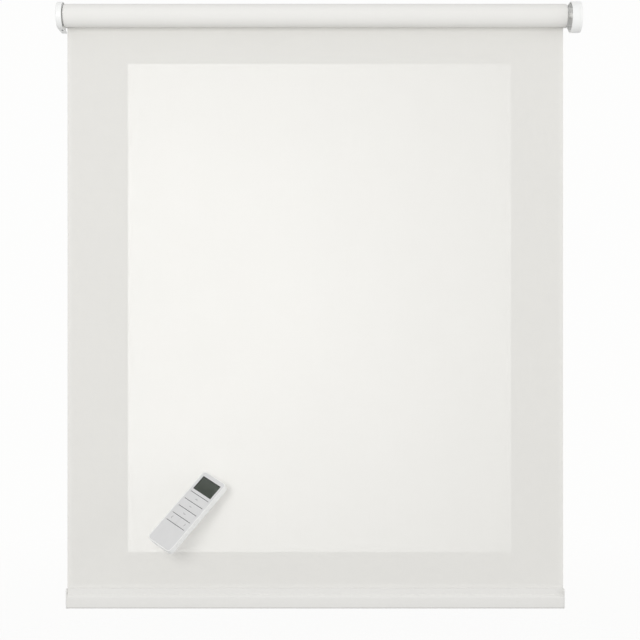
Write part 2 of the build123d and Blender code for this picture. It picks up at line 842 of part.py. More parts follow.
# Hem: bar, welded pocket and end caps
with BuildPart() as hem_bar:
    with BuildSketch(hem_section(bar_end_gap - half_width)):
        SlotOverall(bar_height, bar_thickness, rotation=90)
        SlotOverall(bar_height - 2 * bar_wall, bar_thickness - 2 * bar_wall, rotation=90, mode=Mode.SUBTRACT)
    extrude(amount=fabric_width - 2 * bar_end_gap)
hem_bar.part.label = "hem_bar"
export_step(hem_bar.part, "parts/hem_bar.step")

weld_top = -fabric_drop_length - bar_centre_z
with BuildPart() as hem_pocket:
    with BuildSketch(hem_section(-half_width)):
        SlotOverall(pocket_height, pocket_width, rotation=90)
        with Locations((0, weld_top / 2)):
            Rectangle(2 * fabric_thickness, weld_top)
        SlotOverall(
            bar_height + 2 * pocket_gap,
            bar_thickness + 2 * pocket_gap,
            rotation=90,
            mode=Mode.SUBTRACT,
        )
    extrude(amount=fabric_width)
hem_pocket.part.label = "hem_pocket"
export_step(hem_pocket.part, "parts/hem_pocket.step")

end_cap_top = weld_top + cap_margin
end_cap_low = -pocket_height / 2 - cap_margin
for side, name in ((-1, "hem_end_cap_left"), (1, "hem_end_cap_right")):
    with BuildPart() as hem_end_cap:
        with BuildSketch(hem_section(side * half_width)):
            with Locations((0, (end_cap_top + end_cap_low) / 2)):
                SlotOverall(end_cap_top - end_cap_low, pocket_width + 2 * cap_margin, rotation=90)
        extrude(amount=side * cap_thickness)
        outer_x = side * (half_width + cap_thickness)
        fillet(hem_end_cap.edges().filter_by_position(Axis.X, outer_x, outer_x), cap_edge)
        with BuildSketch(hem_section(side * half_width)):
            SlotOverall(
                bar_height - 2 * (bar_wall + pocket_gap),
                bar_thickness - 2 * (bar_wall + pocket_gap),
                rotation=90,
            )
        extrude(amount=-side * (cap_spigot + bar_end_gap))
    hem_end_cap.part.label = name
    export_step(hem_end_cap.part, f"parts/{name}.step")

# Handset: white case, grey face, screen, keys, circuit board, coin cell and its door
boss_x = case_width / 2 - pillar_side_inset
boss_y = case_length / 2 - pillar_end_inset
boss_places = [(x, y) for x in (-boss_x, boss_x) for y in (-boss_y, boss_y)]
recess_y = (door_length - case_length) / 2
recess_top = door_recess - case_depth
tongue_low = recess_top - 2 * door_tongue
coin_window = 2 * (coin_radius + coin_window_margin)

with BuildPart() as case_block:
    with BuildSketch(handset_level(-case_depth)):
        RectangleRounded(case_width, case_length, case_corner)
    extrude(amount=case_depth)
    back = handset_level(-case_depth).origin
    back_edges = case_block.edges().filter_by(lambda e: abs((e.center() - back).dot(handset_out)) < 0.01)
    fillet(back_edges, case_back_round)

with BuildPart() as handset_case:
    add(case_block.part)
    with BuildSketch(handset_level(floor_inside)):
        RectangleRounded(case_width - 2 * case_rim, case_length - 2 * case_rim, case_corner - case_rim)
    extrude(amount=case_depth, mode=Mode.SUBTRACT)
    with BuildSketch(handset_level(floor_inside)):
        with Locations(*boss_places):
            Circle(boss_radius)
    extrude(amount=pillar_end - stack_gap - floor_inside)
    with BuildSketch(handset_level(-case_depth)):
        with Locations(*boss_places):
            Circle(screw_cap_radius + screw_gap)
    extrude(amount=door_recess + screw_cap, mode=Mode.SUBTRACT)
    with BuildSketch(handset_level(-case_depth)):
        with Locations(*boss_places):
            Circle(screw_radius + screw_gap)
    extrude(amount=case_depth, mode=Mode.SUBTRACT)
    with BuildSketch(handset_level(-case_depth)):
        with Locations((0, recess_y)):
            Rectangle(door_width, door_length)
    extrude(amount=door_recess, mode=Mode.SUBTRACT)
    with BuildSketch(handset_level(tongue_low)):
        with Locations((0, recess_y)):
            Rectangle(door_width + 2 * door_tongue, door_length)
    extrude(amount=door_tongue, mode=Mode.SUBTRACT)
    with BuildSketch(handset_level(-case_depth)):
        with Locations((0, coin_y)):
            Rectangle(coin_window, coin_window)
    extrude(amount=case_floor, mode=Mode.SUBTRACT)
handset_case.part.label = "handset_case"
export_step(handset_case.part, "parts/handset_case.step")

with BuildPart() as battery_door:
    add(case_block.part)
    with BuildSketch(handset_level(-case_depth)):
        with Locations((0, recess_y - door_gap / 2)):
            Rectangle(door_width - 2 * door_gap, door_length - door_gap)
    extrude(amount=door_recess - door_gap, mode=Mode.INTERSECT)
    with BuildSketch(handset_level(tongue_low + door_gap)):
        with Locations((0, recess_y - door_gap / 2)):
            Rectangle(door_width + 2 * (door_tongue - door_gap), door_length - door_gap)
    extrude(amount=door_tongue - 2 * door_gap)
battery_door.part.label = "battery_door"
export_step(battery_door.part, "parts/battery_door.step")

with BuildPart() as handset_face:
    with BuildSketch(handset_level(-face_thickness)):
        RectangleRounded(
            case_width - 2 * (case_rim + face_gap),
            case_length - 2 * (case_rim + face_gap),
            case_corner - case_rim - face_gap,
        )
        with Locations((0, screen_y)):
            Rectangle(screen_width, screen_height, mode=Mode.SUBTRACT)
        with Locations((0, keys_y)):
            Rectangle(key_width + 2 * key_side_gap, keys_height, mode=Mode.SUBTRACT)
    extrude(amount=face_thickness)
    with BuildSketch(handset_level(-face_thickness)):
        with Locations(*boss_places):
            Circle(pillar_radius)
            Circle(screw_radius + screw_gap, mode=Mode.SUBTRACT)
    extrude(amount=pillar_end + face_thickness)
handset_face.part.label = "handset_face"
export_step(handset_face.part, "parts/handset_face.step")

with BuildPart() as screen_lens:
    with BuildSketch(handset_level(module_top)):
        with Locations((0, screen_y)):
            Rectangle(screen_width - 2 * lens_gap, screen_height - 2 * lens_gap)
    extrude(amount=-lens_sink - module_top)
screen_lens.part.label = "screen_lens"
export_step(screen_lens.part, "parts/screen_lens.step")

with BuildPart() as screen_module:
    with BuildSketch(handset_level(module_top)):
        with Locations((0, screen_y)):
            Rectangle(screen_width + 2 * module_border, screen_height + 2 * module_border)
    extrude(amount=-module_thickness)
screen_module.part.label = "screen_module"
export_step(screen_module.part, "parts/screen_module.step")

circuit_y = (circuit_bottom_margin - circuit_top_margin) / 2
circuit_length = case_length - circuit_top_margin - circuit_bottom_margin
with BuildPart() as handset_board:
    with BuildSketch(handset_level(circuit_under)):
        with Locations((0, circuit_y)):
            Rectangle(circuit_width, circuit_length)
    extrude(amount=circuit_thickness)
handset_board.part.label = "handset_board"
export_step(handset_board.part, "parts/handset_board.step")

row_y = [first_slit_y - key_pitch * (row + 0.5) for row in range(key_rows)]
half_key = (key_width - key_split) / 4 + key_split / 2
key_places = {
    "key_up": (0, row_y[0]),
    "key_stop": (0, row_y[1]),
    "key_down": (0, row_y[2]),
    "key_previous": (-half_key, row_y[3]),
    "key_next": (half_key, row_y[3]),
}
dome_top = circuit_top + dome_height
stem_end = dome_top + dome_gap + key_travel

with BuildPart() as switch_domes:
    with BuildSketch(handset_level(circuit_top)):
        with Locations(*key_places.values()):
            Circle(dome_radius)
    extrude(amount=dome_height)
switch_domes.part.label = "switch_domes"
export_step(switch_domes.part, "parts/switch_domes.step")

frame_top = -key_thickness - key_travel - dome_gap
with BuildPart() as key_frame:
    with BuildSketch(handset_level(circuit_top + stack_gap)):
        with Locations((0, keys_y)):
            Rectangle(key_width + key_frame_border, keys_height + key_frame_border)
        with Locations(*key_places.values()):
            Circle(dome_radius + key_side_gap, mode=Mode.SUBTRACT)
    extrude(amount=frame_top - circuit_top - stack_gap)
    with BuildSketch(handset_level(frame_top)):
        for row in range(key_rows + 1):
            with Locations((0, first_slit_y - key_pitch * row)):
                Rectangle(key_width, rib_width)
    extrude(amount=-slit_sink - frame_top)
key_frame.part.label = "key_frame"
export_step(key_frame.part, "parts/key_frame.step")

for name, place in key_places.items():
    sideways = place[0]
    width = key_width if sideways == 0 else (key_width - key_split) / 2
    outer_lip = math.copysign(key_lip / 2, sideways) if sideways else 0
    lip_width = width + (key_lip if sideways else 2 * key_lip)
    with BuildPart() as key:
        with BuildSketch(handset_level(-key_thickness)):
            with Locations(place):
                Rectangle(width, key_height)
        extrude(amount=key_thickness)
        with BuildSketch(handset_level(-key_thickness)):
            with Locations((sideways + outer_lip, place[1])):
                Rectangle(lip_width, key_height)
        extrude(amount=key_thickness - face_thickness - stack_gap)
        with BuildSketch(handset_level(-key_thickness)):
            with Locations(place):
                Circle(key_stem_radius)
        extrude(amount=stem_end + key_thickness)
    key.part.label = name
    export_step(key.part, f"parts/{name}.step")

with BuildPart() as coin_cell:
    with BuildSketch(handset_level(coin_top)):
        with Locations((0, coin_y)):
            Circle(coin_radius)
    extrude(amount=-coin_thickness)
coin_cell.part.label = "coin_cell"
export_step(coin_cell.part, "parts/coin_cell.step")

with BuildPart() as cell_contacts:
    with BuildSketch(handset_level(coin_top)):
        with Locations((0, coin_y)):
            Rectangle(2 * coin_radius, contact_width)
    extrude(amount=contact_thickness)
    with BuildSketch(handset_level(circuit_under - stack_gap)):
        with Locations((coin_radius + contact_thickness, coin_y)):
            Rectangle(contact_thickness, contact_width)
    extrude(amount=-coin_thickness)
cell_contacts.part.label = "cell_contacts"
export_step(cell_contacts.part, "parts/cell_contacts.step")

with BuildPart() as handset_screws:
    with BuildSketch(handset_level(recess_top)):
        with Locations(*boss_places):
            Circle(screw_cap_radius)
    extrude(amount=screw_cap)
    with BuildSketch(handset_level(recess_top + screw_cap)):
        with Locations(*boss_places):
            Circle(screw_radius)
    extrude(amount=-face_thickness - screw_gap - recess_top - screw_cap)
handset_screws.part.label = "handset_screws"
export_step(handset_screws.part, "parts/handset_screws.step")
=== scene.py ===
import json
import math

import bmesh
import bpy
from mathutils import Euler, Matrix, Vector


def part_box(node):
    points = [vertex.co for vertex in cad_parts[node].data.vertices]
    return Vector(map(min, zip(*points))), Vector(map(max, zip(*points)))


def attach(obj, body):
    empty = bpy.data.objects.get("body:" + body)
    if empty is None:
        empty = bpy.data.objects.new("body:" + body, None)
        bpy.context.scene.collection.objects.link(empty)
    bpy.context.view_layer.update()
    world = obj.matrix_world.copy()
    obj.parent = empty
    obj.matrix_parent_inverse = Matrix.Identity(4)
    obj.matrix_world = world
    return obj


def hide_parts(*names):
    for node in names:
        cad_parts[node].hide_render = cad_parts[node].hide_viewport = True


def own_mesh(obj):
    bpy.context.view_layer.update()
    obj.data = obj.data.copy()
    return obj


bl_info = {
    "name": "Motorised Roller Blind",
    "version": (1, 0, 0),
    "blender": (4, 5, 0),
    "location": "View3D > Sidebar > Blind",
    "description": "Dresses the roller blind: cloth, hem, brackets, motor, idler and handset",
    "category": "Object",
}

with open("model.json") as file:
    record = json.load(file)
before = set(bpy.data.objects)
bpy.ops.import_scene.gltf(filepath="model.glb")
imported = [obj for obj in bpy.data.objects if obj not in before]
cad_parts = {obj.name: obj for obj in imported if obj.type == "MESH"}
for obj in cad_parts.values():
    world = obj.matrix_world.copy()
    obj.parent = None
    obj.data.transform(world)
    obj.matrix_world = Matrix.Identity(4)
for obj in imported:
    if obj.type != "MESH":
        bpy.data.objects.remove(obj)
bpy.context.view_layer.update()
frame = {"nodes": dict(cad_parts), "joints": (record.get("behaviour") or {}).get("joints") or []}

nodes = frame["nodes"]
joints = {joint["name"]: joint for joint in frame["joints"]}
MM = 0.001

# Places read from the frame
roller_y = joints["roller_spin"]["pos_m"][1]
cloth_low, cloth_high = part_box("fabric_drop")
cloth_width = cloth_high.x - cloth_low.x
cloth_drop = cloth_high.z - cloth_low.z
cloth_y = (cloth_low.y + cloth_high.y) / 2
cloth_thickness = cloth_high.y - cloth_low.y
bar_low, bar_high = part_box("hem_bar")
pocket_low, pocket_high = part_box("hem_pocket")


def handset_place():
    """Matrix at the centre of the handset's face: x to its right, y to its top end, z out."""
    out = Vector(joints["handset_pick_up"]["axis"]).normalized()
    up = -Vector(joints["battery_door_slide"]["axis"]).normalized()
    right = up.cross(out)
    corners = [vertex.co for vertex in nodes["handset_case"].data.vertices]
    centre = Vector()
    for axis in (right, up):
        reach = [corner.dot(axis) for corner in corners]
        centre += axis * (min(reach) + max(reach)) / 2
    centre += out * max(corner.dot(out) for corner in corners)
    place = Matrix((right, up, out)).transposed().to_4x4()
    place.translation = centre
    return place


def local_box(name, place):
    """Lowest and highest corner of a CAD node in the axes of a matrix."""
    inverse = place.inverted()
    corners = [inverse @ vertex.co for vertex in nodes[name].data.vertices]
    low = Vector([min(corner[axis] for corner in corners) for axis in range(3)])
    high = Vector([max(corner[axis] for corner in corners) for axis in range(3)])
    return low, high


handset = handset_place()


class BlindCloth(bpy.types.PropertyGroup):
    tone: bpy.props.FloatVectorProperty(
        name="Cloth", description="Colour of the woven cloth", subtype="COLOR",
        default=(0.90, 0.892, 0.865),
    )
    yarn: bpy.props.FloatProperty(
        name="Yarn pitch", description="Distance from one yarn to the next", default=0.55 * MM,
        unit="LENGTH",
    )
    openness: bpy.props.FloatProperty(
        name="Openness", description="Share of the light that goes straight through one face",
        default=0.26, min=0.0, max=1.0,
    )
    translucency: bpy.props.FloatProperty(
        name="Translucency", description="Share of the light that is scattered through one face",
        default=0.3, min=0.0, max=1.0,
    )
    backed: bpy.props.FloatProperty(
        name="Backed translucency", description="The same share where the cloth lies on something",
        default=0.06, min=0.0, max=1.0,
    )
    cupping: bpy.props.FloatProperty(
        name="Edge cupping", description="How far the side edges curl towards the wall",
        default=0.8 * MM, unit="LENGTH",
    )
    ripple: bpy.props.FloatProperty(
        name="Ripple", description="Height of the gentle upright ripples", default=0.6 * MM,
        unit="LENGTH",
    )
    columns: bpy.props.IntProperty(
        name="Columns", description="Faces across the hanging cloth", default=90,
    )
    rows: bpy.props.IntProperty(
        name="Rows", description="Faces down the hanging cloth", default=60,
    )


class BlindRoll(bpy.types.PropertyGroup):
    turns: bpy.props.FloatProperty(
        name="Turns", description="Turns of cloth on the tube with the blind down", default=1.15,
    )
    layer_gap: bpy.props.FloatProperty(
        name="Layer gap", description="Air between two wound layers", default=0.02 * MM,
        unit="LENGTH",
    )
    steps: bpy.props.IntProperty(
        name="Steps", description="Faces around one turn", default=96,
    )


class BlindSpring(bpy.types.PropertyGroup):
    turns: bpy.props.FloatProperty(
        name="Turns", description="Turns of the idler's spring", default=6.0,
    )
    wire: bpy.props.FloatProperty(
        name="Wire", description="Radius of the spring's wire", default=0.6 * MM, unit="LENGTH",
    )
    closing: bpy.props.FloatProperty(
        name="Closing", description="How much the turns draw together at both ends",
        default=0.64, min=0.0, max=1.0,
    )
    steps: bpy.props.IntProperty(
        name="Steps", description="Points along the wire", default=241,
    )


class BlindHem(bpy.types.PropertyGroup):
    # painted shade: the hem's cloth is cut to this share of the cloth's colour, for the shade over
    # the metal bar
    shade: bpy.props.FloatProperty(
        name="Shade", description="Share of the cloth's lightness that is left over the metal bar",
        default=0.94, min=0.0, max=1.0,
    )
    opening: bpy.props.FloatProperty(
        name="Opening", description="Height over the bar at which both layers part",
        default=1.6 * MM, unit="LENGTH",
    )
    weld_pitch: bpy.props.FloatProperty(
        name="Weld pitch", description="Distance from one weld mark to the next",
        default=3.2 * MM, unit="LENGTH",
    )
    weld_length: bpy.props.FloatProperty(
        name="Weld length", description="Length of one weld mark", default=2.5 * MM, unit="LENGTH",
    )
    weld_height: bpy.props.FloatProperty(
        name="Weld height", description="Height of one weld mark", default=0.55 * MM, unit="LENGTH",
    )
    weld_proud: bpy.props.FloatProperty(
        name="Weld relief", description="How far a weld mark stands out", default=0.12 * MM,
        unit="LENGTH",
    )
    weld_drops: bpy.props.FloatVectorProperty(
        name="Weld rows", description="Depth of both weld rows under the hem's top edge", size=2,
        default=(4.6 * MM, 9.9 * MM), unit="LENGTH",
    )


class BlindPlastic(bpy.types.PropertyGroup):
    cover: bpy.props.FloatVectorProperty(
        name="Covers", description="Colour of the bracket covers", subtype="COLOR",
        default=(0.93, 0.935, 0.925),
    )
    cap: bpy.props.FloatVectorProperty(
        name="End caps", description="Colour of the hem's end caps", subtype="COLOR",
        default=(0.78, 0.775, 0.755),
    )
    fitting: bpy.props.FloatVectorProperty(
        name="Fittings", description="Colour of the motor head and the idler's socket",
        subtype="COLOR", default=(0.90, 0.90, 0.885),
    )
    dark: bpy.props.FloatVectorProperty(
        name="Dark parts", description="Colour of the black mouldings", subtype="COLOR",
        default=(0.022, 0.022, 0.024),
    )
    nylon: bpy.props.FloatVectorProperty(
        name="Nylon", description="Colour of the plug, crown and drive wheel", subtype="COLOR",
        default=(0.88, 0.875, 0.85),
    )
    grain: bpy.props.FloatProperty(
        name="Grain", description="Size of the moulded grain", default=0.35 * MM, unit="LENGTH",
    )


class BlindMetal(bpy.types.PropertyGroup):
    coat: bpy.props.FloatVectorProperty(
        name="Powder coat", description="Colour of the bracket plates", subtype="COLOR",
        default=(0.90, 0.90, 0.89),
    )
    steel: bpy.props.FloatVectorProperty(
        name="Steel", description="Colour of screws, springs and gears", subtype="COLOR",
        default=(0.56, 0.57, 0.58),
    )
    aluminium: bpy.props.FloatVectorProperty(
        name="Aluminium", description="Colour of the tube and the hem bar", subtype="COLOR",
        default=(0.76, 0.77, 0.78),
    )
    brass: bpy.props.FloatVectorProperty(
        name="Brass", description="Colour of the pinion, bearing and contacts", subtype="COLOR",
        default=(0.72, 0.52, 0.24),
    )


class BlindHandset(bpy.types.PropertyGroup):
    case: bpy.props.FloatVectorProperty(
        name="Case", description="Colour of the case and its door", subtype="COLOR",
        default=(0.9, 0.905, 0.895),
    )
    face: bpy.props.FloatVectorProperty(
        name="Face", description="Colour of the face and the keys", subtype="COLOR",
        default=(0.68, 0.68, 0.68),
    )
    # The screen's two colours are painted light and shade: its lit end and its shaded top end.
    screen: bpy.props.FloatVectorProperty(
        name="Screen", description="Colour of the screen's lit end", subtype="COLOR",
        default=(0.085, 0.115, 0.075),
    )
    screen_shade: bpy.props.FloatVectorProperty(
        name="Screen shade", description="Colour of the screen's dark end", subtype="COLOR",
        default=(0.045, 0.058, 0.042),
    )
    mark: bpy.props.FloatVectorProperty(
        name="Key marks", description="Colour of the printed marks", subtype="COLOR",
        default=(0.055, 0.055, 0.055),
    )
    mark_width: bpy.props.FloatProperty(
        name="Mark width", description="Width of one arrow mark", default=5.0 * MM, unit="LENGTH",
    )
    mark_rise: bpy.props.FloatProperty(
        name="Mark rise", description="Height of one arrow mark", default=1.7 * MM, unit="LENGTH",
    )
    mark_stroke: bpy.props.FloatProperty(
        name="Mark stroke", description="Thickness of a mark's line", default=0.5 * MM,
        unit="LENGTH",
    )
    mark_shift: bpy.props.FloatProperty(
        name="Mark shift", description="How far the side marks stand out from their keys' middles",
        default=4.0 * MM, unit="LENGTH",
    )
    rib_count: bpy.props.IntProperty(
        name="Door ribs", description="Number of grip ribs on the battery door", default=7,
    )
    rib_pitch: bpy.props.FloatProperty(
        name="Rib pitch", description="Distance from one grip rib to the next", default=2.2 * MM,
        unit="LENGTH",
    )


class BlindStage(bpy.types.PropertyGroup):
    camera_distance: bpy.props.FloatProperty(
        name="Camera distance", description="From the camera to the wall", default=2.366,
        unit="LENGTH",
    )
    camera_side: bpy.props.FloatProperty(
        name="Camera side", description="The camera's place to the right of the blind's middle",
        default=0.0082, unit="LENGTH",
    )
    camera_height: bpy.props.FloatProperty(
        name="Camera height", description="The camera's height over the roller's axis",
        default=-0.5267, unit="LENGTH",
    )
    lens: bpy.props.FloatProperty(
        name="Lens", description="Focal length on a 36 mm sensor, in millimetres", default=75.74,
    )
    page: bpy.props.FloatVectorProperty(
        name="Page", description="Colour of the background", subtype="COLOR",
        default=(0.985, 0.985, 0.98),
    )
    sky: bpy.props.FloatVectorProperty(
        name="Sky", description="Strength of the even light from below and from above", size=2,
        default=(0.56, 0.7),
    )
    key: bpy.props.FloatProperty(
        name="Key light", description="Power of the large light at the front left", default=35.5,
    )
    fill: bpy.props.FloatProperty(
        name="Fill light", description="Power of the light at the right", default=21.0,
    )
    floor_height: bpy.props.FloatProperty(
        name="Floor height", description="Height of the floor under the roller's axis",
        default=-1.35, unit="LENGTH",
    )
    floor_glow: bpy.props.FloatVectorProperty(
        name="Floor glow", description="Brightness of the floor to the blind and to the camera",
        size=2, default=(0.42, 0.86),
    )
    window_glow: bpy.props.FloatVectorProperty(
        name="Window glow", size=2,
        description="Brightness through the cloth, near and far from its middle",
        default=(2.67, 1.24),
    )
    glow_middle: bpy.props.FloatVectorProperty(
        name="Glow middle", description="Where the window is brightest", size=2,
        default=(-0.273, -0.492), unit="LENGTH",
    )
    glow_reach: bpy.props.FloatVectorProperty(
        name="Glow reach", description="Distances between which the window fades", size=2,
        default=(0.22, 0.76), unit="LENGTH",
    )
    wall_glow: bpy.props.FloatProperty(
        name="Wall glow", description="Brightness of the wall seen through the cloth", default=0.6,
    )
    window_low: bpy.props.FloatVectorProperty(
        name="Window low corner", description="The window's lower left corner", size=2,
        default=(-0.3295, -0.9347), unit="LENGTH",
    )
    window_high: bpy.props.FloatVectorProperty(
        name="Window high corner", description="The window's upper right corner", size=2,
        default=(0.3441, -0.0764), unit="LENGTH",
    )


def start_material(name):
    """Empty material with its node tree and output node."""
    material = bpy.data.materials.new(name)
    material.use_nodes = True
    tree = material.node_tree
    tree.nodes.clear()
    output = tree.nodes.new("ShaderNodeOutputMaterial")
    return material, tree, output


def put(tree, kind, inputs=None, **settings):
    """New node in a tree. An input is another node's output, or a plain value."""
    node = tree.nodes.new(kind)
    for key, value in settings.items():
        setattr(node, key, value)
    for key, value in (inputs or {}).items():
        if isinstance(value, bpy.types.NodeSocket):
            tree.links.new(value, node.inputs[key])
        else:
            node.inputs[key].default_value = value
    return node


def result(tree, kind, inputs=None, **settings):
    """First output of a new node."""
    return put(tree, kind, inputs, **settings).outputs[0]


def parts(tree, vector):
    """Outputs with the three parts of a vector."""
    return put(tree, "ShaderNodeSeparateXYZ", {0: vector}).outputs


def mixed(tree, share, first, second):
    """Shader between two shaders."""
    return result(tree, "ShaderNodeMixShader", {0: share, 1: first, 2: second})


def calculate(tree, operation, first, second=0.0):
    """Result of a maths operation on two numbers or sockets, in a shader or a geometry tree."""
    return result(tree, "ShaderNodeMath", {0: first, 1: second}, operation=operation)


def object_place(tree, scale=(1, 1, 1)):
    """Object coordinates, stretched by a scale."""
    place = put(tree, "ShaderNodeTexCoord").outputs["Object"]
    return result(tree, "ShaderNodeMapping", {"Vector": place, "Scale": scale})


def clouds(tree, place, size, detail=2.0):
    """Noise whose patches are about size across, from 0 to 1."""
    values = {"Vector": place, "Scale": 1 / size, "Detail": detail, "Roughness": 0.5}
    return result(tree, "ShaderNodeTexNoise", values)


def between(tree, value, low=0.0, high=1.0, start=0.3, stop=0.7):
    """Number that runs from low to high as value runs from start to stop."""
    limits = {"Value": value, "From Min": start, "From Max": stop, "To Min": low, "To Max": high}
    return result(tree, "ShaderNodeMapRange", limits)


def blend_colours(tree, share, first, second):
    """Colour between two colours, which are plain values or sockets."""
    mix = put(tree, "ShaderNodeMix", {0: share}, data_type="RGBA")
    for number, colour in ((6, first), (7, second)):
        if isinstance(colour, bpy.types.NodeSocket):
            tree.links.new(colour, mix.inputs[number])
        else:
            mix.inputs[number].default_value = (*colour, 1)
    return mix.outputs[2]


def darker(colour, share):
    """Colour with each part of its light cut to a share."""
    return tuple(part * share for part in colour)


def relief(tree, height, distance, strength=1.0):
    """Bump normal from a height that runs from 0 to 1 over a distance."""
    values = {"Height": height, "Distance": distance, "Strength": strength}
    return result(tree, "ShaderNodeBump", values)


def finished(material, tree, output, tone, gloss, normal=None, **more):
    """The material, ended in a Principled shader. More of its inputs follow by name."""
    values = {"Base Color": tone, "Roughness": gloss, **more}
    if normal is not None:
        values["Normal"] = normal
    tree.links.new(result(tree, "ShaderNodeBsdfPrincipled", values), output.inputs[0])
    return material


def plastic(name, colour, roughness, grain=None, depth=0.012 * MM):
    """Moulded plastic: faint flow marks in its colour and gloss, and a fine grain."""
    material, tree, output = start_material(name)
    grain = grain or bpy.context.scene.blind_plastic.grain
    place = object_place(tree)
    flow = clouds(tree, place, 30 * MM, detail=3.0)
    tone = blend_colours(tree, between(tree, flow), darker(colour, 0.965), colour)
    dust = clouds(tree, place, 6 * MM, detail=4.0)
    gloss = between(tree, dust, roughness - 0.05, roughness + 0.07)
    normal = relief(tree, clouds(tree, place, grain), depth)
    return finished(material, tree, output, tone, gloss, normal, IOR=1.46)


def metal(name, colour, roughness, lines):
    """Metal drawn or turned along one axis: lines is the scale of its marks on X, Y and Z."""
    material, tree, output = start_material(name)
    marks = clouds(tree, object_place(tree, lines), size=1.0, detail=4.0)
    stain = clouds(tree, object_place(tree), 18 * MM, detail=3.0)
    tone = blend_colours(tree, between(tree, stain), darker(colour, 0.86), colour)
    gloss = between(tree, marks, roughness - 0.08, roughness + 0.12)
    normal = relief(tree, marks, 0.01 * MM)
    return finished(material, tree, output, tone, gloss, normal, Metallic=1.0)


def powder_coat(name, colour):
    """Powder coat on sheet steel: orange peel, with a few darker specks."""
    material, tree, output = start_material(name)
    place = object_place(tree)
    peel = clouds(tree, place, 1.1 * MM)
    specks = between(tree, clouds(tree, place, 0.7 * MM, detail=1.0), start=0.74, stop=0.78)
    flow = between(tree, clouds(tree, place, 22 * MM, detail=3.0))
    tone = blend_colours(tree, flow, darker(colour, 0.96), colour)
    tone = blend_colours(tree, specks, tone, darker(colour, 0.7))
    gloss = between(tree, peel, 0.36, 0.48)
    normal = relief(tree, peel, 0.03 * MM)
    return finished(material, tree, output, tone, gloss, normal)


def circuit_board(name):
    """Green solder mask over faint copper tracks."""
    material, tree, output = start_material(name)
    place = object_place(tree)
    tracks = put(
        tree, "ShaderNodeTexBrick",
        {
            "Vector": place, "Scale": 1 / (9 * MM), "Mortar Size": 0.03,
            "Color1": (0.004, 0.06, 0.022, 1), "Color2": (0.006, 0.075, 0.028, 1),
            "Mortar": (0.03, 0.19, 0.07, 1),
        },
    )
    gloss = between(tree, clouds(tree, place, 4 * MM), 0.25, 0.4)
    normal = relief(tree, tracks.outputs["Fac"], 0.03 * MM)
    return finished(material, tree, output, tracks.outputs["Color"], gloss, normal)


def cell_wrap(name):
    """Shrink wrap of the round cells, with a bare steel rim at each cell's end."""
    material, tree, output = start_material(name)
    low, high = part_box("battery_cells")
    pitch = (high.x - low.x) / 2
    rim = 1.6 * MM
    place = put(tree, "ShaderNodeTexCoord").outputs["Object"]
    along = parts(tree, place)[0]
    start = calculate(tree, "SUBTRACT", along, low.x)
    step = result(tree, "ShaderNodeMath", {0: start, 1: pitch, 2: 0.0}, operation="WRAP")
    bare = calculate(tree, "GREATER_THAN", step, pitch - rim)
    tone = blend_colours(tree, bare, (0.02, 0.10, 0.28), (0.6, 0.6, 0.62))
    gloss = between(tree, clouds(tree, object_place(tree), 5 * MM, detail=3.0), 0.22, 0.38)
    normal = relief(tree, clouds(tree, object_place(tree, (0.1, 1, 1)), 2 * MM), 0.05 * MM)
    return finished(material, tree, output, tone, gloss, normal, Metallic=bare)


def woven_cloth(name, cloth, openness, translucency, shade=1.0):
    """Light-filtering cloth in a plain weave with slubs, that lets light through. A shade below 1
    is painted shade.
    """
    material, tree, output = start_material(name)
    flat = result(tree, "ShaderNodeUVMap", uv_map="cloth")
    split = parts(tree, flat)
    turn = math.pi / cloth.yarn
    warp = calculate(tree, "SINE", calculate(tree, "MULTIPLY", split[0], turn))
    weft = calculate(tree, "SINE", calculate(tree, "MULTIPLY", split[1], turn))
    crossing = calculate(tree, "MULTIPLY", warp, weft)
    weave = between(tree, crossing, start=-1.0, stop=1.0)
    stretches, slub_size, cloud_size = ((14, 1000, 1), (1000, 12, 1)), 1.6, 110 * MM
    drawn = [result(tree, "ShaderNodeMapping", {"Vector": flat, "Scale": s}) for s in stretches]
    slubs = calculate(tree, "MAXIMUM", *[clouds(tree, place, slub_size) for place in drawn])
    clouded = clouds(tree, flat, cloud_size, detail=3.0)
    # painted shade: the cloth's colour cut to a share, used for the hem over its bar
    pale = darker(cloth.tone, shade)
    thick = between(tree, slubs, start=0.5, stop=0.8)
    shaded = between(tree, clouded, high=0.5)
    raised = between(tree, weave, high=0.3, start=0.0, stop=1.0)
    tone = blend_colours(tree, thick, darker(pale, 0.985), pale)
    tone = blend_colours(tree, shaded, tone, darker(pale, 0.975))
    tone = blend_colours(tree, raised, tone, darker(pale, 0.94))
    slub_height, yarn_height = 0.8, 0.05 * MM
    thread = calculate(tree, "ADD", weave, calculate(tree, "MULTIPLY", slubs, slub_height))
    normal = relief(tree, thread, yarn_height, strength=0.6)
    values = {
        "Base Color": tone, "Roughness": 0.9, "Normal": normal, "Specular IOR Level": 0.2,
        "Sheen Weight": 0.15, "Sheen Roughness": 0.5,
    }
    surface = result(tree, "ShaderNodeBsdfPrincipled", values)
    through = result(tree, "ShaderNodeBsdfTranslucent", {"Color": tone})
    shader = mixed(tree, translucency, surface, through)
    if openness:
        hole = result(tree, "ShaderNodeBsdfTransparent")
        shader = mixed(tree, openness, shader, hole)
    tree.links.new(shader, output.inputs[0])
    return material


def woven_weld(name, cloth):
    """Cloth melted by the weld: smoother and a little darker."""
    material, tree, output = start_material(name)
    place = object_place(tree)
    melt = clouds(tree, place, 1.5 * MM)
    tone = blend_colours(tree, melt, darker(cloth.tone, 0.90), darker(cloth.tone, 0.96))
    gloss = between(tree, clouds(tree, place, 3 * MM), 0.45, 0.6)
    normal = relief(tree, melt, 0.03 * MM)
    return finished(material, tree, output, tone, gloss, normal)


def handset_coordinates(tree):
    """Position on the handset: x to its right, y to its top end, z out of its face."""
    place = put(tree, "ShaderNodeTexCoord").outputs["Object"]
    values = {"Vector": place, "Location": handset.translation, "Rotation": handset.to_euler()}
    return result(tree, "ShaderNodeMapping", values, vector_type="TEXTURE")


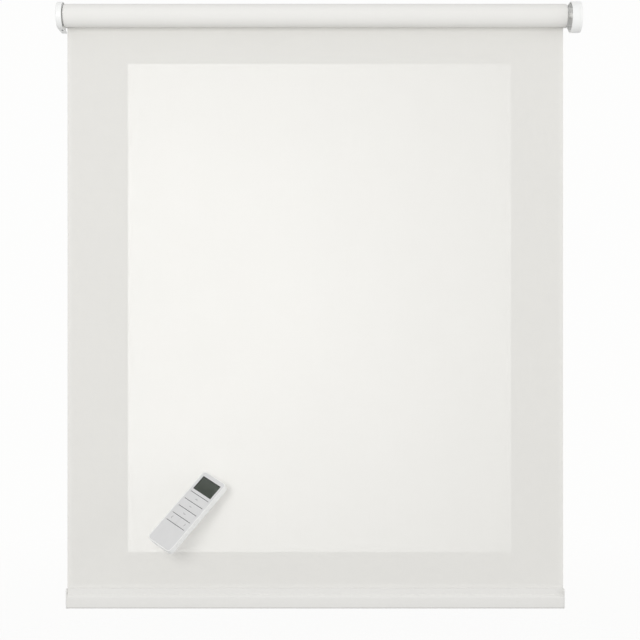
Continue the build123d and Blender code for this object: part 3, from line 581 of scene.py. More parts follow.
def inside(tree, place, low, high, axes=(0, 1)):
    """1 where a position lies inside a rectangle on two axes, and 0 elsewhere."""
    split = parts(tree, place)
    share = 1.0
    for number, axis in enumerate(axes):
        above = calculate(tree, "GREATER_THAN", split[axis], low[number])
        below = calculate(tree, "LESS_THAN", split[axis], high[number])
        share = calculate(tree, "MULTIPLY", share, calculate(tree, "MULTIPLY", above, below))
    return share


def handset_face_plastic(name, colour, dark):
    """The handset's face: satin grey, with painted shade on the cut edge round the screen, coloured
    black.
    """
    material, tree, output = start_material(name)
    place = handset_coordinates(tree)
    low, high = local_box("screen_lens", handset)
    margin = Vector((0.14, 0.14, 0)) * MM
    # painted shade: black on the walls just round the lens, for the shade inside the screen's
    # opening
    edge = inside(tree, place, low - margin, high + margin)
    flow = clouds(tree, place, 24 * MM, detail=3.0)
    tone = blend_colours(tree, between(tree, flow), darker(colour, 0.97), colour)
    tone = blend_colours(tree, edge, tone, dark)
    gloss = between(tree, clouds(tree, place, 5 * MM, detail=4.0), 0.34, 0.46)
    normal = relief(tree, clouds(tree, place, 0.25 * MM), 0.008 * MM)
    return finished(material, tree, output, tone, gloss, normal, IOR=1.46)


def key_frame_plastic(name, colour, dark):
    """The frame under the keys: black in the gaps between them, grey beyond their sides."""
    material, tree, output = start_material(name)
    place = handset_coordinates(tree)
    low, high = local_box("key_up", handset)
    split = parts(tree, place)
    off_middle = calculate(tree, "ABSOLUTE", split[0])
    beyond = calculate(tree, "GREATER_THAN", off_middle, (high.x - low.x) / 2)
    flow = between(tree, clouds(tree, place, 9 * MM, detail=3.0))
    tone = blend_colours(tree, flow, dark, darker(dark, 1.4))
    tone = blend_colours(tree, beyond, tone, darker(colour, 0.9))
    gloss = between(tree, clouds(tree, place, 4 * MM), 0.5, 0.65)
    normal = relief(tree, clouds(tree, place, 0.35 * MM), 0.01 * MM)
    return finished(material, tree, output, tone, gloss, normal)


def screen_panel(name, lit, shade):
    """Liquid crystal panel with painted shade, darker towards its top end and its left side, and a
    black border round the edge that is partly its masking and partly painted shade.
    """
    material, tree, output = start_material(name)
    place = handset_coordinates(tree)
    low, high = local_box("screen_lens", handset)
    mask_and_shade_border = Vector((1.0, 1.0, 0)) * MM
    split = parts(tree, place)
    height = between(tree, split[1], 1.0, 0.0, low.y, high.y)
    side = between(tree, split[0], 0.0, 0.4, low.x, high.x)
    height_share, mottle_share = 0.6, 0.15
    # painted shade: the panel runs from its lit colour to its shaded colour, darker towards its top
    # end and its left side
    painted_shading = calculate(tree, "ADD", calculate(tree, "MULTIPLY", height, height_share), side)
    mottled = calculate(tree, "MULTIPLY", clouds(tree, place, 12 * MM), mottle_share)
    tone = blend_colours(tree, calculate(tree, "ADD", painted_shading, mottled), shade, lit)
    # painted shade: a black border inside the lens edge, partly the panel's masking and partly the
    # shade of the screen's hollow
    tone = blend_colours(tree, inside(tree, place, low + mask_and_shade_border, high - mask_and_shade_border), (0.01,) * 3, tone)
    gloss = between(tree, clouds(tree, place, 8 * MM), 0.2, 0.28)
    return finished(material, tree, output, tone, gloss)


def clear_lens(name):
    """Clear acrylic with faint wipe marks in its gloss."""
    material, tree, output = start_material(name)
    wipes = clouds(tree, object_place(tree, (1, 0.3, 1)), 16 * MM, detail=1.0)
    gloss = between(tree, wipes, 0.05, 0.09)
    shine = result(tree, "ShaderNodeBsdfGlossy", {"Roughness": gloss})
    clear = result(tree, "ShaderNodeBsdfTransparent", {"Color": (0.93, 0.95, 0.93, 1)})
    share = result(tree, "ShaderNodeFresnel", {"IOR": 1.49})
    tree.links.new(mixed(tree, share, clear, shine), output.inputs[0])
    return material


def dress(material, *names):
    """Give CAD nodes a material."""
    for name in names:
        mesh = nodes[name].data
        mesh.materials.clear()
        mesh.materials.append(material)


def new_object(name, data):
    """New object in the scene."""
    item = bpy.data.objects.new(name, data)
    bpy.context.scene.collection.objects.link(item)
    return item


def new_piece(name, mesh, body, material=None):
    """Put a finished mesh in the scene on its body, with its material when one is given."""
    piece = new_object(name, mesh)
    if material is not None:
        mesh.materials.clear()
        mesh.materials.append(material)
    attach(piece, body)
    return piece


def evaluated_mesh(name, carrier):
    """Mesh that the modifier of a carrier makes, in the carrier's place."""
    graph = bpy.context.evaluated_depsgraph_get()
    mesh = bpy.data.meshes.new_from_object(carrier.evaluated_get(graph))
    mesh.name = name
    bpy.data.objects.remove(carrier)
    return mesh


def settled(name, mesh, thickness):
    """Mesh of a sheet with its thickness, half to each side."""
    carrier = new_object(name + "_carrier", mesh)
    solid = carrier.modifiers.new("thickness", "SOLIDIFY")
    solid.thickness = thickness
    solid.offset = 0
    thick = evaluated_mesh(name, carrier)
    fold_angle = math.radians(40)
    thick.set_sharp_from_angle(angle=fold_angle)
    return thick


def sheet_mesh(name, rows, flat):
    """Sheet from rows of points, with its flat sizes as the UV map named cloth."""
    net = bmesh.new()
    layer = net.loops.layers.uv.new("cloth")
    corners = [[net.verts.new(point) for point in row] for row in rows]
    sizes = {corners[r][c]: flat[r][c] for r in range(len(rows)) for c in range(len(rows[r]))}
    for upper, lower in zip(corners, corners[1:]):
        for left in range(len(upper) - 1):
            face = net.faces.new((upper[left], lower[left], lower[left + 1], upper[left + 1]))
            face.smooth = True
            for loop in face.loops:
                loop[layer].uv = sizes[loop.vert]
    mesh = bpy.data.meshes.new(name)
    net.to_mesh(mesh)
    net.free()
    return mesh


def geometry_tree(name, inputs):
    """Empty geometry tree, the sockets of its named inputs and of a material, and its end."""
    tree = bpy.data.node_groups.new(name, "GeometryNodeTree")
    kinds = {float: "Float", int: "Int", Vector: "Vector", Euler: "Rotation"}
    sockets = {"Geometry": "Geometry"}
    sockets.update({label: kinds[type(default)] for label, default in inputs.items()})
    sockets["Material"] = "Material"
    for label, kind in sockets.items():
        kind = "NodeSocket" + kind
        socket = tree.interface.new_socket(label, in_out="INPUT", socket_type=kind)
        if label in inputs:
            socket.default_value = inputs[label]
    tree.interface.new_socket("Geometry", in_out="OUTPUT", socket_type="NodeSocketGeometry")
    return tree, tree.nodes.new("NodeGroupInput").outputs, tree.nodes.new("NodeGroupOutput")


def close_tree(tree, given, output, geometry):
    """End a geometry tree in Realize Instances and Set Material."""
    whole = result(tree, "GeometryNodeRealizeInstances", {0: geometry})
    values = {"Geometry": whole, "Material": given["Material"]}
    tree.links.new(result(tree, "GeometryNodeSetMaterial", values), output.inputs[0])


def grown_mesh(name, tree, values, points=()):
    """Plain mesh that a geometry tree makes from named values and starting points."""
    start = bpy.data.meshes.new(name + "_points")
    start.from_pydata([tuple(point) for point in points], [], [])
    carrier = new_object(name + "_carrier", start)
    modifier = carrier.modifiers.new("grow", "NODES")
    modifier.node_group = tree
    for item in tree.interface.items_tree:
        if item.item_type == "SOCKET" and item.in_out == "INPUT" and item.name in values:
            modifier[item.identifier] = values[item.name]
    return evaluated_mesh(name, carrier)


def wound_tree():
    """Geometry tree of cloth wound in a spiral round the X axis, outermost turn first."""
    tree, given, output = geometry_tree("Wound cloth", {
        "Width": 0.865, "Turns": 1.15, "Outer radius": 0.0198, "Pitch": 0.00047,
        "Axis Y": -0.036, "Columns": 2, "Rows": 100,
    })
    whole_turn = calculate(tree, "MULTIPLY", given["Turns"], 2 * math.pi)
    values = {
        "Size X": given["Width"], "Size Y": whole_turn,
        "Vertices X": given["Columns"], "Vertices Y": given["Rows"],
    }
    grid = result(tree, "GeometryNodeMeshGrid", values)
    split = parts(tree, result(tree, "GeometryNodeInputPosition"))
    half_turn = calculate(tree, "MULTIPLY", whole_turn, 0.5)
    angle = calculate(tree, "ADD", split[1], half_turn)
    inward = calculate(tree, "MULTIPLY", angle, given["Pitch"])
    inward = calculate(tree, "DIVIDE", inward, 2 * math.pi)
    radius = calculate(tree, "SUBTRACT", given["Outer radius"], inward)
    length = calculate(tree, "MULTIPLY", radius, angle)
    half_width = calculate(tree, "MULTIPLY", given["Width"], 0.5)
    flat_x = calculate(tree, "ADD", split[0], half_width)
    flat = result(tree, "ShaderNodeCombineXYZ", {0: flat_x, 1: length})
    marked = result(
        tree, "GeometryNodeStoreNamedAttribute",
        {"Geometry": grid, "Name": "cloth", "Value": flat}, data_type="FLOAT2", domain="CORNER",
    )
    forward = calculate(tree, "MULTIPLY", radius, calculate(tree, "COSINE", angle))
    upward = calculate(tree, "MULTIPLY", radius, calculate(tree, "SINE", angle))
    placed_y = calculate(tree, "ADD", forward, given["Axis Y"])
    place = result(tree, "ShaderNodeCombineXYZ", {0: split[0], 1: placed_y, 2: upward})
    wound = result(tree, "GeometryNodeSetPosition", {"Geometry": marked, "Position": place})
    smooth = result(tree, "GeometryNodeSetShadeSmooth", {"Geometry": wound})
    close_tree(tree, given, output, smooth)
    return tree


def spring_tree():
    """Geometry tree of a compression spring along the X axis, with closed ends."""
    tree, given, output = geometry_tree("Compression spring", {
        "Start": Vector(), "Length": 0.02, "Radius": 0.005, "Wire": 0.0006, "Turns": 6.0,
        "Closing": 0.6, "Steps": 240,
    })
    values = {"Count": given["Steps"], "Offset": (0, 0, 0)}
    line = result(tree, "GeometryNodeMeshLine", values, mode="OFFSET")
    last = calculate(tree, "SUBTRACT", given["Steps"], 1.0)
    share = calculate(tree, "DIVIDE", result(tree, "GeometryNodeInputIndex"), last)
    turned = calculate(tree, "MULTIPLY", share, 2 * math.pi)
    drawn = calculate(tree, "MULTIPLY", calculate(tree, "SINE", turned), given["Closing"])
    along = calculate(tree, "SUBTRACT", share, calculate(tree, "DIVIDE", drawn, 2 * math.pi))
    along = calculate(tree, "MULTIPLY", along, given["Length"])
    angle = calculate(tree, "MULTIPLY", turned, given["Turns"])
    forward = calculate(tree, "MULTIPLY", given["Radius"], calculate(tree, "COSINE", angle))
    upward = calculate(tree, "MULTIPLY", given["Radius"], calculate(tree, "SINE", angle))
    offset = result(tree, "ShaderNodeCombineXYZ", {0: along, 1: forward, 2: upward})
    place = result(tree, "ShaderNodeVectorMath", {0: offset, 1: given["Start"]})
    coil = result(tree, "GeometryNodeSetPosition", {"Geometry": line, "Position": place})
    wire_sides = 12
    values = {"Resolution": wire_sides, "Radius": given["Wire"]}
    wire = result(tree, "GeometryNodeCurvePrimitiveCircle", values)
    curve = result(tree, "GeometryNodeMeshToCurve", {0: coil})
    values = {"Curve": curve, "Profile Curve": wire, "Fill Caps": True}
    tube = result(tree, "GeometryNodeCurveToMesh", values)
    smooth = result(tree, "GeometryNodeSetShadeSmooth", {"Geometry": tube})
    close_tree(tree, given, output, smooth)
    return tree


def bars_tree():
    """Geometry tree of a straight row of small bars."""
    tree, given, output = geometry_tree("Row of bars", {
        "Count": 10, "Start": Vector(), "Step": Vector((0.003, 0, 0)),
        "Size": Vector((0.002, 0.0002, 0.0005)),
    })
    values = {"Count": given["Count"], "Start Location": given["Start"], "Offset": given["Step"]}
    line = result(tree, "GeometryNodeMeshLine", values, mode="OFFSET")
    bar = result(tree, "GeometryNodeMeshCube", {"Size": given["Size"]})
    row = result(tree, "GeometryNodeInstanceOnPoints", {"Points": line, "Instance": bar})
    close_tree(tree, given, output, row)
    return tree


def crosses_tree():
    """Geometry tree of a cross on each starting point, for the painted shade of the hollow crosses
    in screw heads.
    """
    tree, given, output = geometry_tree("Screw crosses", {
        "Length": 0.002, "Width": 0.0005, "Depth": 0.0001, "Turn": Euler(),
    })
    bars = []
    for first, second in (("Length", "Width"), ("Width", "Length")):
        values = {0: given[first], 1: given[second], 2: given["Depth"]}
        size = result(tree, "ShaderNodeCombineXYZ", values)
        bars.append(result(tree, "GeometryNodeMeshCube", {"Size": size}))
    cross = put(
        tree, "GeometryNodeMeshBoolean", {"Mesh": bars[0]}, operation="UNION", solver="EXACT"
    )
    tree.links.new(bars[1], cross.inputs[1])
    values = {
        "Points": given["Geometry"], "Instance": cross.outputs[0], "Rotation": given["Turn"],
    }
    placed = result(tree, "GeometryNodeInstanceOnPoints", values)
    close_tree(tree, given, output, placed)
    return tree


def screw_centres(name, place):
    """Centres of a node's separate solids in the axes of a matrix, at their highest level."""
    net = bmesh.new()
    net.from_mesh(nodes[name].data)
    bmesh.ops.remove_doubles(net, verts=net.verts, dist=1e-6)
    inverse = place.inverted()
    left, centres = set(net.verts), []
    while left:
        group, edge = set(), [next(iter(left))]
        while edge:
            vertex = edge.pop()
            if vertex in group:
                continue
            group.add(vertex)
            edge += [link.other_vert(vertex) for link in vertex.link_edges]
        left -= group
        spots = [inverse @ vertex.co for vertex in group]
        middle = [(min(s[a] for s in spots) + max(s[a] for s in spots)) / 2 for a in range(2)]
        centres.append(Vector((*middle, max(spot.z for spot in spots))))
    net.free()
    return sorted(centres, key=lambda centre: (round(centre.x, 6), round(centre.y, 6)))


def put_crosses(name, screws, place, body, length, width, material):
    """Dark cross on each head of a node's screws, which face along z of a matrix: painted shade
    where the head's hollow cross would be.
    """
    depth = 0.12 * MM
    values = {
        "Length": length, "Width": width, "Depth": depth, "Turn": place.to_euler(),
        "Material": material,
    }
    centres = [place @ centre for centre in screw_centres(screws, place)]
    mesh = grown_mesh(name, crosses_tree(), values, centres)
    new_piece(name, mesh, body)


def round_edges(mesh, width):
    """Bevel every edge of a mesh of small bars."""
    net = bmesh.new()
    net.from_mesh(mesh)
    bmesh.ops.bevel(net, geom=net.edges[:], offset=width, segments=2, affect="EDGES", profile=0.5)
    net.to_mesh(mesh)
    net.free()


def stroke_outline(points, width):
    """Outline of a flat line of a given width through points in a plane, mitred at its corners."""
    left, right = [], []
    for number, point in enumerate(points):
        before = (point - points[number - 1]).normalized() if number else None
        after = (points[number + 1] - point).normalized() if number + 1 < len(points) else None
        before, after = before or after, after or before
        along = (before + after).normalized()
        reach = width / 2 / along.dot(before)
        side = Vector((-along.y, along.x)) * reach
        left.append(point + side)
        right.append(point - side)
    return left, right


class BLIND_OT_cloth(bpy.types.Operator):
    """Make the hanging cloth and the wound cloth"""

    bl_idname = "blind.cloth"
    bl_label = "Cloth"

    def execute(self, context):
        cloth = context.scene.blind_cloth
        roll = context.scene.blind_roll
        waves, drift, cup_power = 4.5, 2.3, 6
        rows, flat = [], []
        for down in range(cloth.rows + 1):
            depth = down / cloth.rows
            free = math.sin(math.pi * depth)
            row, sizes = [], []
            for along in range(cloth.columns + 1):
                share = along / cloth.columns
                edge = abs(2 * share - 1)
                bend = cloth.cupping * edge ** cup_power
                wave = math.sin(2 * math.pi * waves * share)
                bend += cloth.ripple * wave * math.sin(drift * share + depth)
                x = cloth_low.x + cloth_width * share
                z = cloth_high.z - cloth_drop * depth
                row.append((x, cloth_y + bend * free, z))
                sizes.append((cloth_width * share, -cloth_drop * depth))
            rows.append(row)
            flat.append(sizes)
        material = woven_cloth("cloth_hanging", cloth, cloth.openness, cloth.translucency)
        mesh = settled("cloth_hanging", sheet_mesh("cloth_net", rows, flat), cloth_thickness)
        hanging = new_piece("cloth_hanging", mesh, "brackets", material)
        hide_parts("fabric_drop")
        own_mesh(hanging)

        wound = woven_cloth("cloth_wound", cloth, 0.0, cloth.backed)
        pitch = cloth_thickness + roll.layer_gap
        values = {
            "Width": cloth_width,
            "Turns": roll.turns,
            "Outer radius": cloth_y - roller_y,
            "Pitch": pitch,
            "Axis Y": roller_y,
            "Columns": 2,
            "Rows": round(roll.steps * roll.turns) + 1,
            "Material": wound,
        }
        spiral = grown_mesh("cloth_wound_net", wound_tree(), values)
        mesh = settled("cloth_wound", spiral, cloth_thickness)
        turned = new_piece("cloth_wound", mesh, "roller")
        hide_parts("fabric_roll")
        return {"FINISHED"}

    @staticmethod
    def rest_share():
        """Share of the hanging cloth that is left when the hem is at its highest."""
        return 1 - joints["hem_lift"]["range_m"][1] / cloth_drop


class BLIND_OT_hem(bpy.types.Operator):
    """Make the welded hem pocket and finish the bar and its end caps"""

    bl_idname = "blind.hem"
    bl_label = "Hem"

    def execute(self, context):
        hem = context.scene.blind_hem
        cloth = context.scene.blind_cloth
        half = cloth_thickness / 2
        path = self.pocket_path(half, hem.opening)
        lengths = [0.0]
        for before, after in zip(path, path[1:]):
            lengths.append(lengths[-1] + (after - before).length)
        columns = 60
        spans = [cloth_width * step / columns for step in range(columns + 1)]
        rows, flat = [], []
        for point, length in zip(path, lengths):
            rows.append([(cloth_low.x + span, cloth_y + point.x, point.y) for span in spans])
            flat.append([(span, -cloth_drop - length) for span in spans])
        # painted shade: the hem's cloth is darker than the hanging cloth, for the shade over the
        # bar
        material = woven_cloth("cloth_hem", cloth, 0.0, cloth.backed, hem.shade)
        mesh = settled("hem_pocket_cloth", sheet_mesh("hem_net", rows, flat), cloth_thickness)
        pocket = new_piece("hem_pocket_cloth", mesh, "hem", material)
        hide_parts("hem_pocket")

        count = int(cloth_width / hem.weld_pitch)
        margin = (cloth_width - (count - 1) * hem.weld_pitch) / 2
        sunk = half / 2
        weld = woven_weld("cloth_weld", cloth)
        bars = bars_tree()
        for number, drop in enumerate(hem.weld_drops):
            for side, word in ((-1, "front"), (1, "back")):
                y = cloth_y + side * (cloth_thickness + (hem.weld_proud - sunk) / 2)
                values = {
                    "Count": count,
                    "Start": (cloth_low.x + margin, y, pocket_high.z - drop),
                    "Step": (hem.weld_pitch, 0.0, 0.0),
                    "Size": (hem.weld_length, hem.weld_proud + sunk, hem.weld_height),
                    "Material": weld,
                }
                name = f"hem_weld_{word}_{number + 1}"
                new_piece(name, grown_mesh(name, bars, values), "hem")

        metals = context.scene.blind_metal
        plastics = context.scene.blind_plastic
        bar = metal("hem_aluminium", metals.aluminium, roughness=0.34, lines=(4, 3000, 3000))
        dress(bar, "hem_bar")
        caps = plastic("hem_cap_plastic", plastics.cap, roughness=0.45)
        dress(caps, "hem_end_cap_left", "hem_end_cap_right")
        return {"FINISHED"}

    @staticmethod
    def pocket_path(half, opening):
        """Middle line of the cloth round the bar, from the weld's front side to its back side."""
        reach = (pocket_high.y - pocket_low.y) / 2 - half
        bar_radius = (bar_high.y - bar_low.y) / 2
        upper, lower = bar_high.z - bar_radius, bar_low.z + bar_radius
        weld_end = bar_high.z + opening
        shoulder_steps, round_steps = 8, 12
        touch = math.acos((reach - half) / (weld_end - upper))
        front = [Vector((-half, pocket_high.z)), Vector((-half, weld_end))]
        for step in range(shoulder_steps + 1):
            angle = touch + (math.pi / 2 - touch) * step / shoulder_steps
            front.append(Vector((-reach * math.sin(angle), upper + reach * math.cos(angle))))
        for step in range(1, round_steps + 1):
            angle = math.pi / 2 * step / round_steps
            front.append(Vector((-reach * math.cos(angle), lower - reach * math.sin(angle))))
        return front + [Vector((-point.x, point.y)) for point in reversed(front[:-1])]


class BLIND_OT_brackets(bpy.types.Operator):
    """Finish both wall brackets, the motor head and its socket and button"""

    bl_idname = "blind.brackets"
    bl_label = "Brackets"

    def execute(self, context):
        plastics = context.scene.blind_plastic
        metals = context.scene.blind_metal
        cover = plastic("cover_plastic", plastics.cover, roughness=0.34)
        dress(cover, "motor_bracket_cover", "idler_bracket_cover", "idler_bracket_cap")
        button = plastic("button_plastic", darker(plastics.cover, 0.94), roughness=0.4)
        dress(button, "setting_button")
        coat = powder_coat("bracket_coat", metals.coat)
        dress(coat, "motor_bracket_plate", "idler_bracket_plate")
        fitting = plastic("fitting_plastic", plastics.fitting, roughness=0.42)
        dress(fitting, "motor_head", "idler_socket")
        socket = metal("socket_steel", metals.steel, roughness=0.3, lines=(900, 900, 20))
        dress(socket, "charging_socket")
        screws = metal("screw_steel", metals.steel, roughness=0.32, lines=(40, 900, 900))
        dress(screws, "motor_head_screws", "idler_socket_screws")
        # painted shade: a dark cross on each screw head stands in for the shade in its hollow cross
        recess_shade = plastic("screw_recess_shade", darker(plastics.dark, 0.8), roughness=0.6)
        length, width = 2.6 * MM, 0.6 * MM
        for name, facing in (("motor_head_screws", 1), ("idler_socket_screws", -1)):
            place = Matrix.Rotation(facing * math.pi / 2, 4, "Y")
            put_crosses(name + "_crosses", name, place, "brackets", length, width, recess_shade)
        return {"FINISHED"}


class BLIND_OT_motor(bpy.types.Operator):
    """Finish the tubular motor, its gears and cells, and the tube that it turns"""

    bl_idname = "blind.motor"
    bl_label = "Motor and tube"

    def execute(self, context):
        plastics = context.scene.blind_plastic
        metals = context.scene.blind_metal
        drawn = (6, 2500, 2500)
        turned = (2500, 60, 60)
        tube = metal("tube_aluminium", metals.aluminium, roughness=0.36, lines=drawn)
        dress(tube, "roller_tube")
        housing = metal("housing_steel", metals.steel, roughness=0.3, lines=drawn)
        dress(housing, "motor_housing", "motor_can")
        gears = metal("gear_steel", metals.steel, roughness=0.26, lines=turned)
        dress(gears, "ring_gear", "planet_carrier", "drive_wheel_clip")
        brass = metal("gear_brass", metals.brass, roughness=0.25, lines=turned)
        dress(brass, "sun_gear", "output_bearing")
        nylon = plastic("nylon", plastics.nylon, roughness=0.48)
        dress(nylon, "crown_ring", "drive_wheel", "fabric_strip")
        dress(nylon, "planet_gear_1", "planet_gear_2", "planet_gear_3")
        dress(plastic("holder_black", plastics.dark, roughness=0.5), "cell_holder")
        dress(cell_wrap("cell_wrap"), "battery_cells")
        dress(circuit_board("motor_circuit"), "control_board")
        return {"FINISHED"}


class BLIND_OT_idler(bpy.types.Operator):
    """Finish the sprung idler in the tube's right end"""

    bl_idname = "blind.idler"
    bl_label = "Idler"

    def execute(self, context):
        plastics = context.scene.blind_plastic
        metals = context.scene.blind_metal
        nylon = plastic("idler_nylon", plastics.nylon, roughness=0.45)
        dress(nylon, "idler_plug", "spring_seat", "idler_pin")
        low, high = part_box("idler_spring")
        size = context.scene.blind_spring
        length = high.x - low.x
        values = {
            "Start": (low.x + size.wire, roller_y, 0.0),
            "Length": length - 2 * size.wire,
            "Radius": high.z - size.wire,
            "Wire": size.wire,
            "Turns": size.turns,
            "Closing": size.closing,
            "Steps": size.steps,
            "Material": metal("spring_steel", metals.steel, roughness=0.25, lines=(400, 400, 400)),
        }
        mesh = grown_mesh("spring_coil", spring_tree(), values)
        spring = new_piece("spring_coil", mesh, "roller")
        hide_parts("idler_spring")
        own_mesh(spring)
        return {"FINISHED"}


class BLIND_OT_handset(bpy.types.Operator):
    """Finish the handset's case, face, screen and inside"""

    bl_idname = "blind.handset"
    bl_label = "Handset"

    def execute(self, context):
        looks = context.scene.blind_handset
        plastics = context.scene.blind_plastic
        metals = context.scene.blind_metal
        case = plastic("handset_white", looks.case, roughness=0.27, depth=0.0015 * MM)
        dress(case, "handset_case", "battery_door")
        face = handset_face_plastic("handset_grey", looks.face, plastics.dark)
        keys = ("key_up", "key_stop", "key_down", "key_previous", "key_next")
        dress(face, "handset_face", *keys)
        dress(clear_lens("screen_lens"), "screen_lens")
        dress(screen_panel("screen_panel", looks.screen, looks.screen_shade), "screen_module")
        dress(key_frame_plastic("key_frame_plastic", looks.face, plastics.dark), "key_frame")
        dress(circuit_board("handset_circuit"), "handset_board")
        steel = metal("handset_steel", metals.steel, roughness=0.3, lines=(900, 900, 900))
        dress(steel, "switch_domes", "coin_cell", "handset_screws")
        brass = metal("contact_brass", metals.brass, roughness=0.3, lines=(900, 900, 900))
        dress(brass, "cell_contacts")

        back = handset @ Matrix.Rotation(math.pi, 4, "X")
        # painted shade: a dark cross on each screw head stands in for the shade in its hollow cross
        recess_shade = plastic("handset_recess_shade", darker(plastics.dark, 0.8), roughness=0.6)
        length, width = 1.9 * MM, 0.5 * MM
        crosses, screws = "handset_screw_crosses", "handset_screws"
        put_crosses(crosses, screws, back, "handset", length, width, recess_shade)

        low, high = local_box("battery_door", handset)
        rib_length, rib_width, rib_proud = 18 * MM, 0.9 * MM, 0.3 * MM
        rib_start, rib_round = 9 * MM, 0.15 * MM
        values = {
            "Count": looks.rib_count,
            "Start": (0.0, high.y - rib_start, low.z),
            "Step": (0.0, -looks.rib_pitch, 0.0),
            "Size": (rib_length, rib_width, 2 * rib_proud),
            "Material": case,
        }
        mesh = grown_mesh("door_ribs", bars_tree(), values)
        round_edges(mesh, rib_round)
        mesh.transform(handset)
        new_piece("door_ribs", mesh, "battery_door")
        return {"FINISHED"}


class BLIND_OT_marks(bpy.types.Operator):
    """Print the arrow and stop marks on the keys"""

    bl_idname = "blind.marks"
    bl_label = "Key marks"

    def execute(self, context):
        looks = context.scene.blind_handset
        ink = plastic("mark_ink", looks.mark, roughness=0.5, grain=0.2 * MM, depth=0.003 * MM)
        half, rise = looks.mark_width / 2, looks.mark_rise / 2
        arrow = [Vector((-half, -rise)), Vector((0, rise)), Vector((half, -rise))]
        dash_share = 0.84
        dash = [Vector((-half * dash_share, 0)), Vector((half * dash_share, 0))]
        marks = (
            ("key_up", arrow, 0, 0),
            ("key_stop", dash, 0, 0),
            ("key_down", arrow, 180, 0),
            ("key_previous", arrow, 90, -looks.mark_shift),
            ("key_next", arrow, -90, looks.mark_shift),
        )
        for key, points, turn, shift in marks:
            low, high = local_box(key, handset)
            centre = Vector(((low.x + high.x) / 2 + shift, (low.y + high.y) / 2, high.z))
            turned = Matrix.Rotation(math.radians(turn), 4, "Z")
            mesh = self.printed(f"{key}_mark", points, looks.mark_stroke)
            mesh.transform(handset @ Matrix.Translation(centre) @ turned)
            new_piece(f"{key}_mark", mesh, key, ink)
        return {"FINISHED"}

    @staticmethod
    def printed(name, points, width):
        """Thin closed mesh of one mark, a little proud of the key."""
        left, right = stroke_outline(points, width)
        proud, sunk = 0.03 * MM, 0.05 * MM
        net = bmesh.new()
        faces = []
        for start in range(len(points) - 1):
            outline = (left[start], right[start], right[start + 1], left[start + 1])
            corners = [net.verts.new((*corner, -sunk)) for corner in outline]
            faces.append(net.faces.new(corners))
        bmesh.ops.remove_doubles(net, verts=net.verts, dist=1e-7)
        lifted = bmesh.ops.extrude_face_region(net, geom=net.faces[:])
        top = [item for item in lifted["geom"] if isinstance(item, bmesh.types.BMVert)]
        bmesh.ops.translate(net, verts=top, vec=(0, 0, proud + sunk))
        bmesh.ops.recalc_face_normals(net, faces=net.faces)
        mesh = bpy.data.meshes.new(name)
        net.to_mesh(mesh)
        net.free()
        return mesh


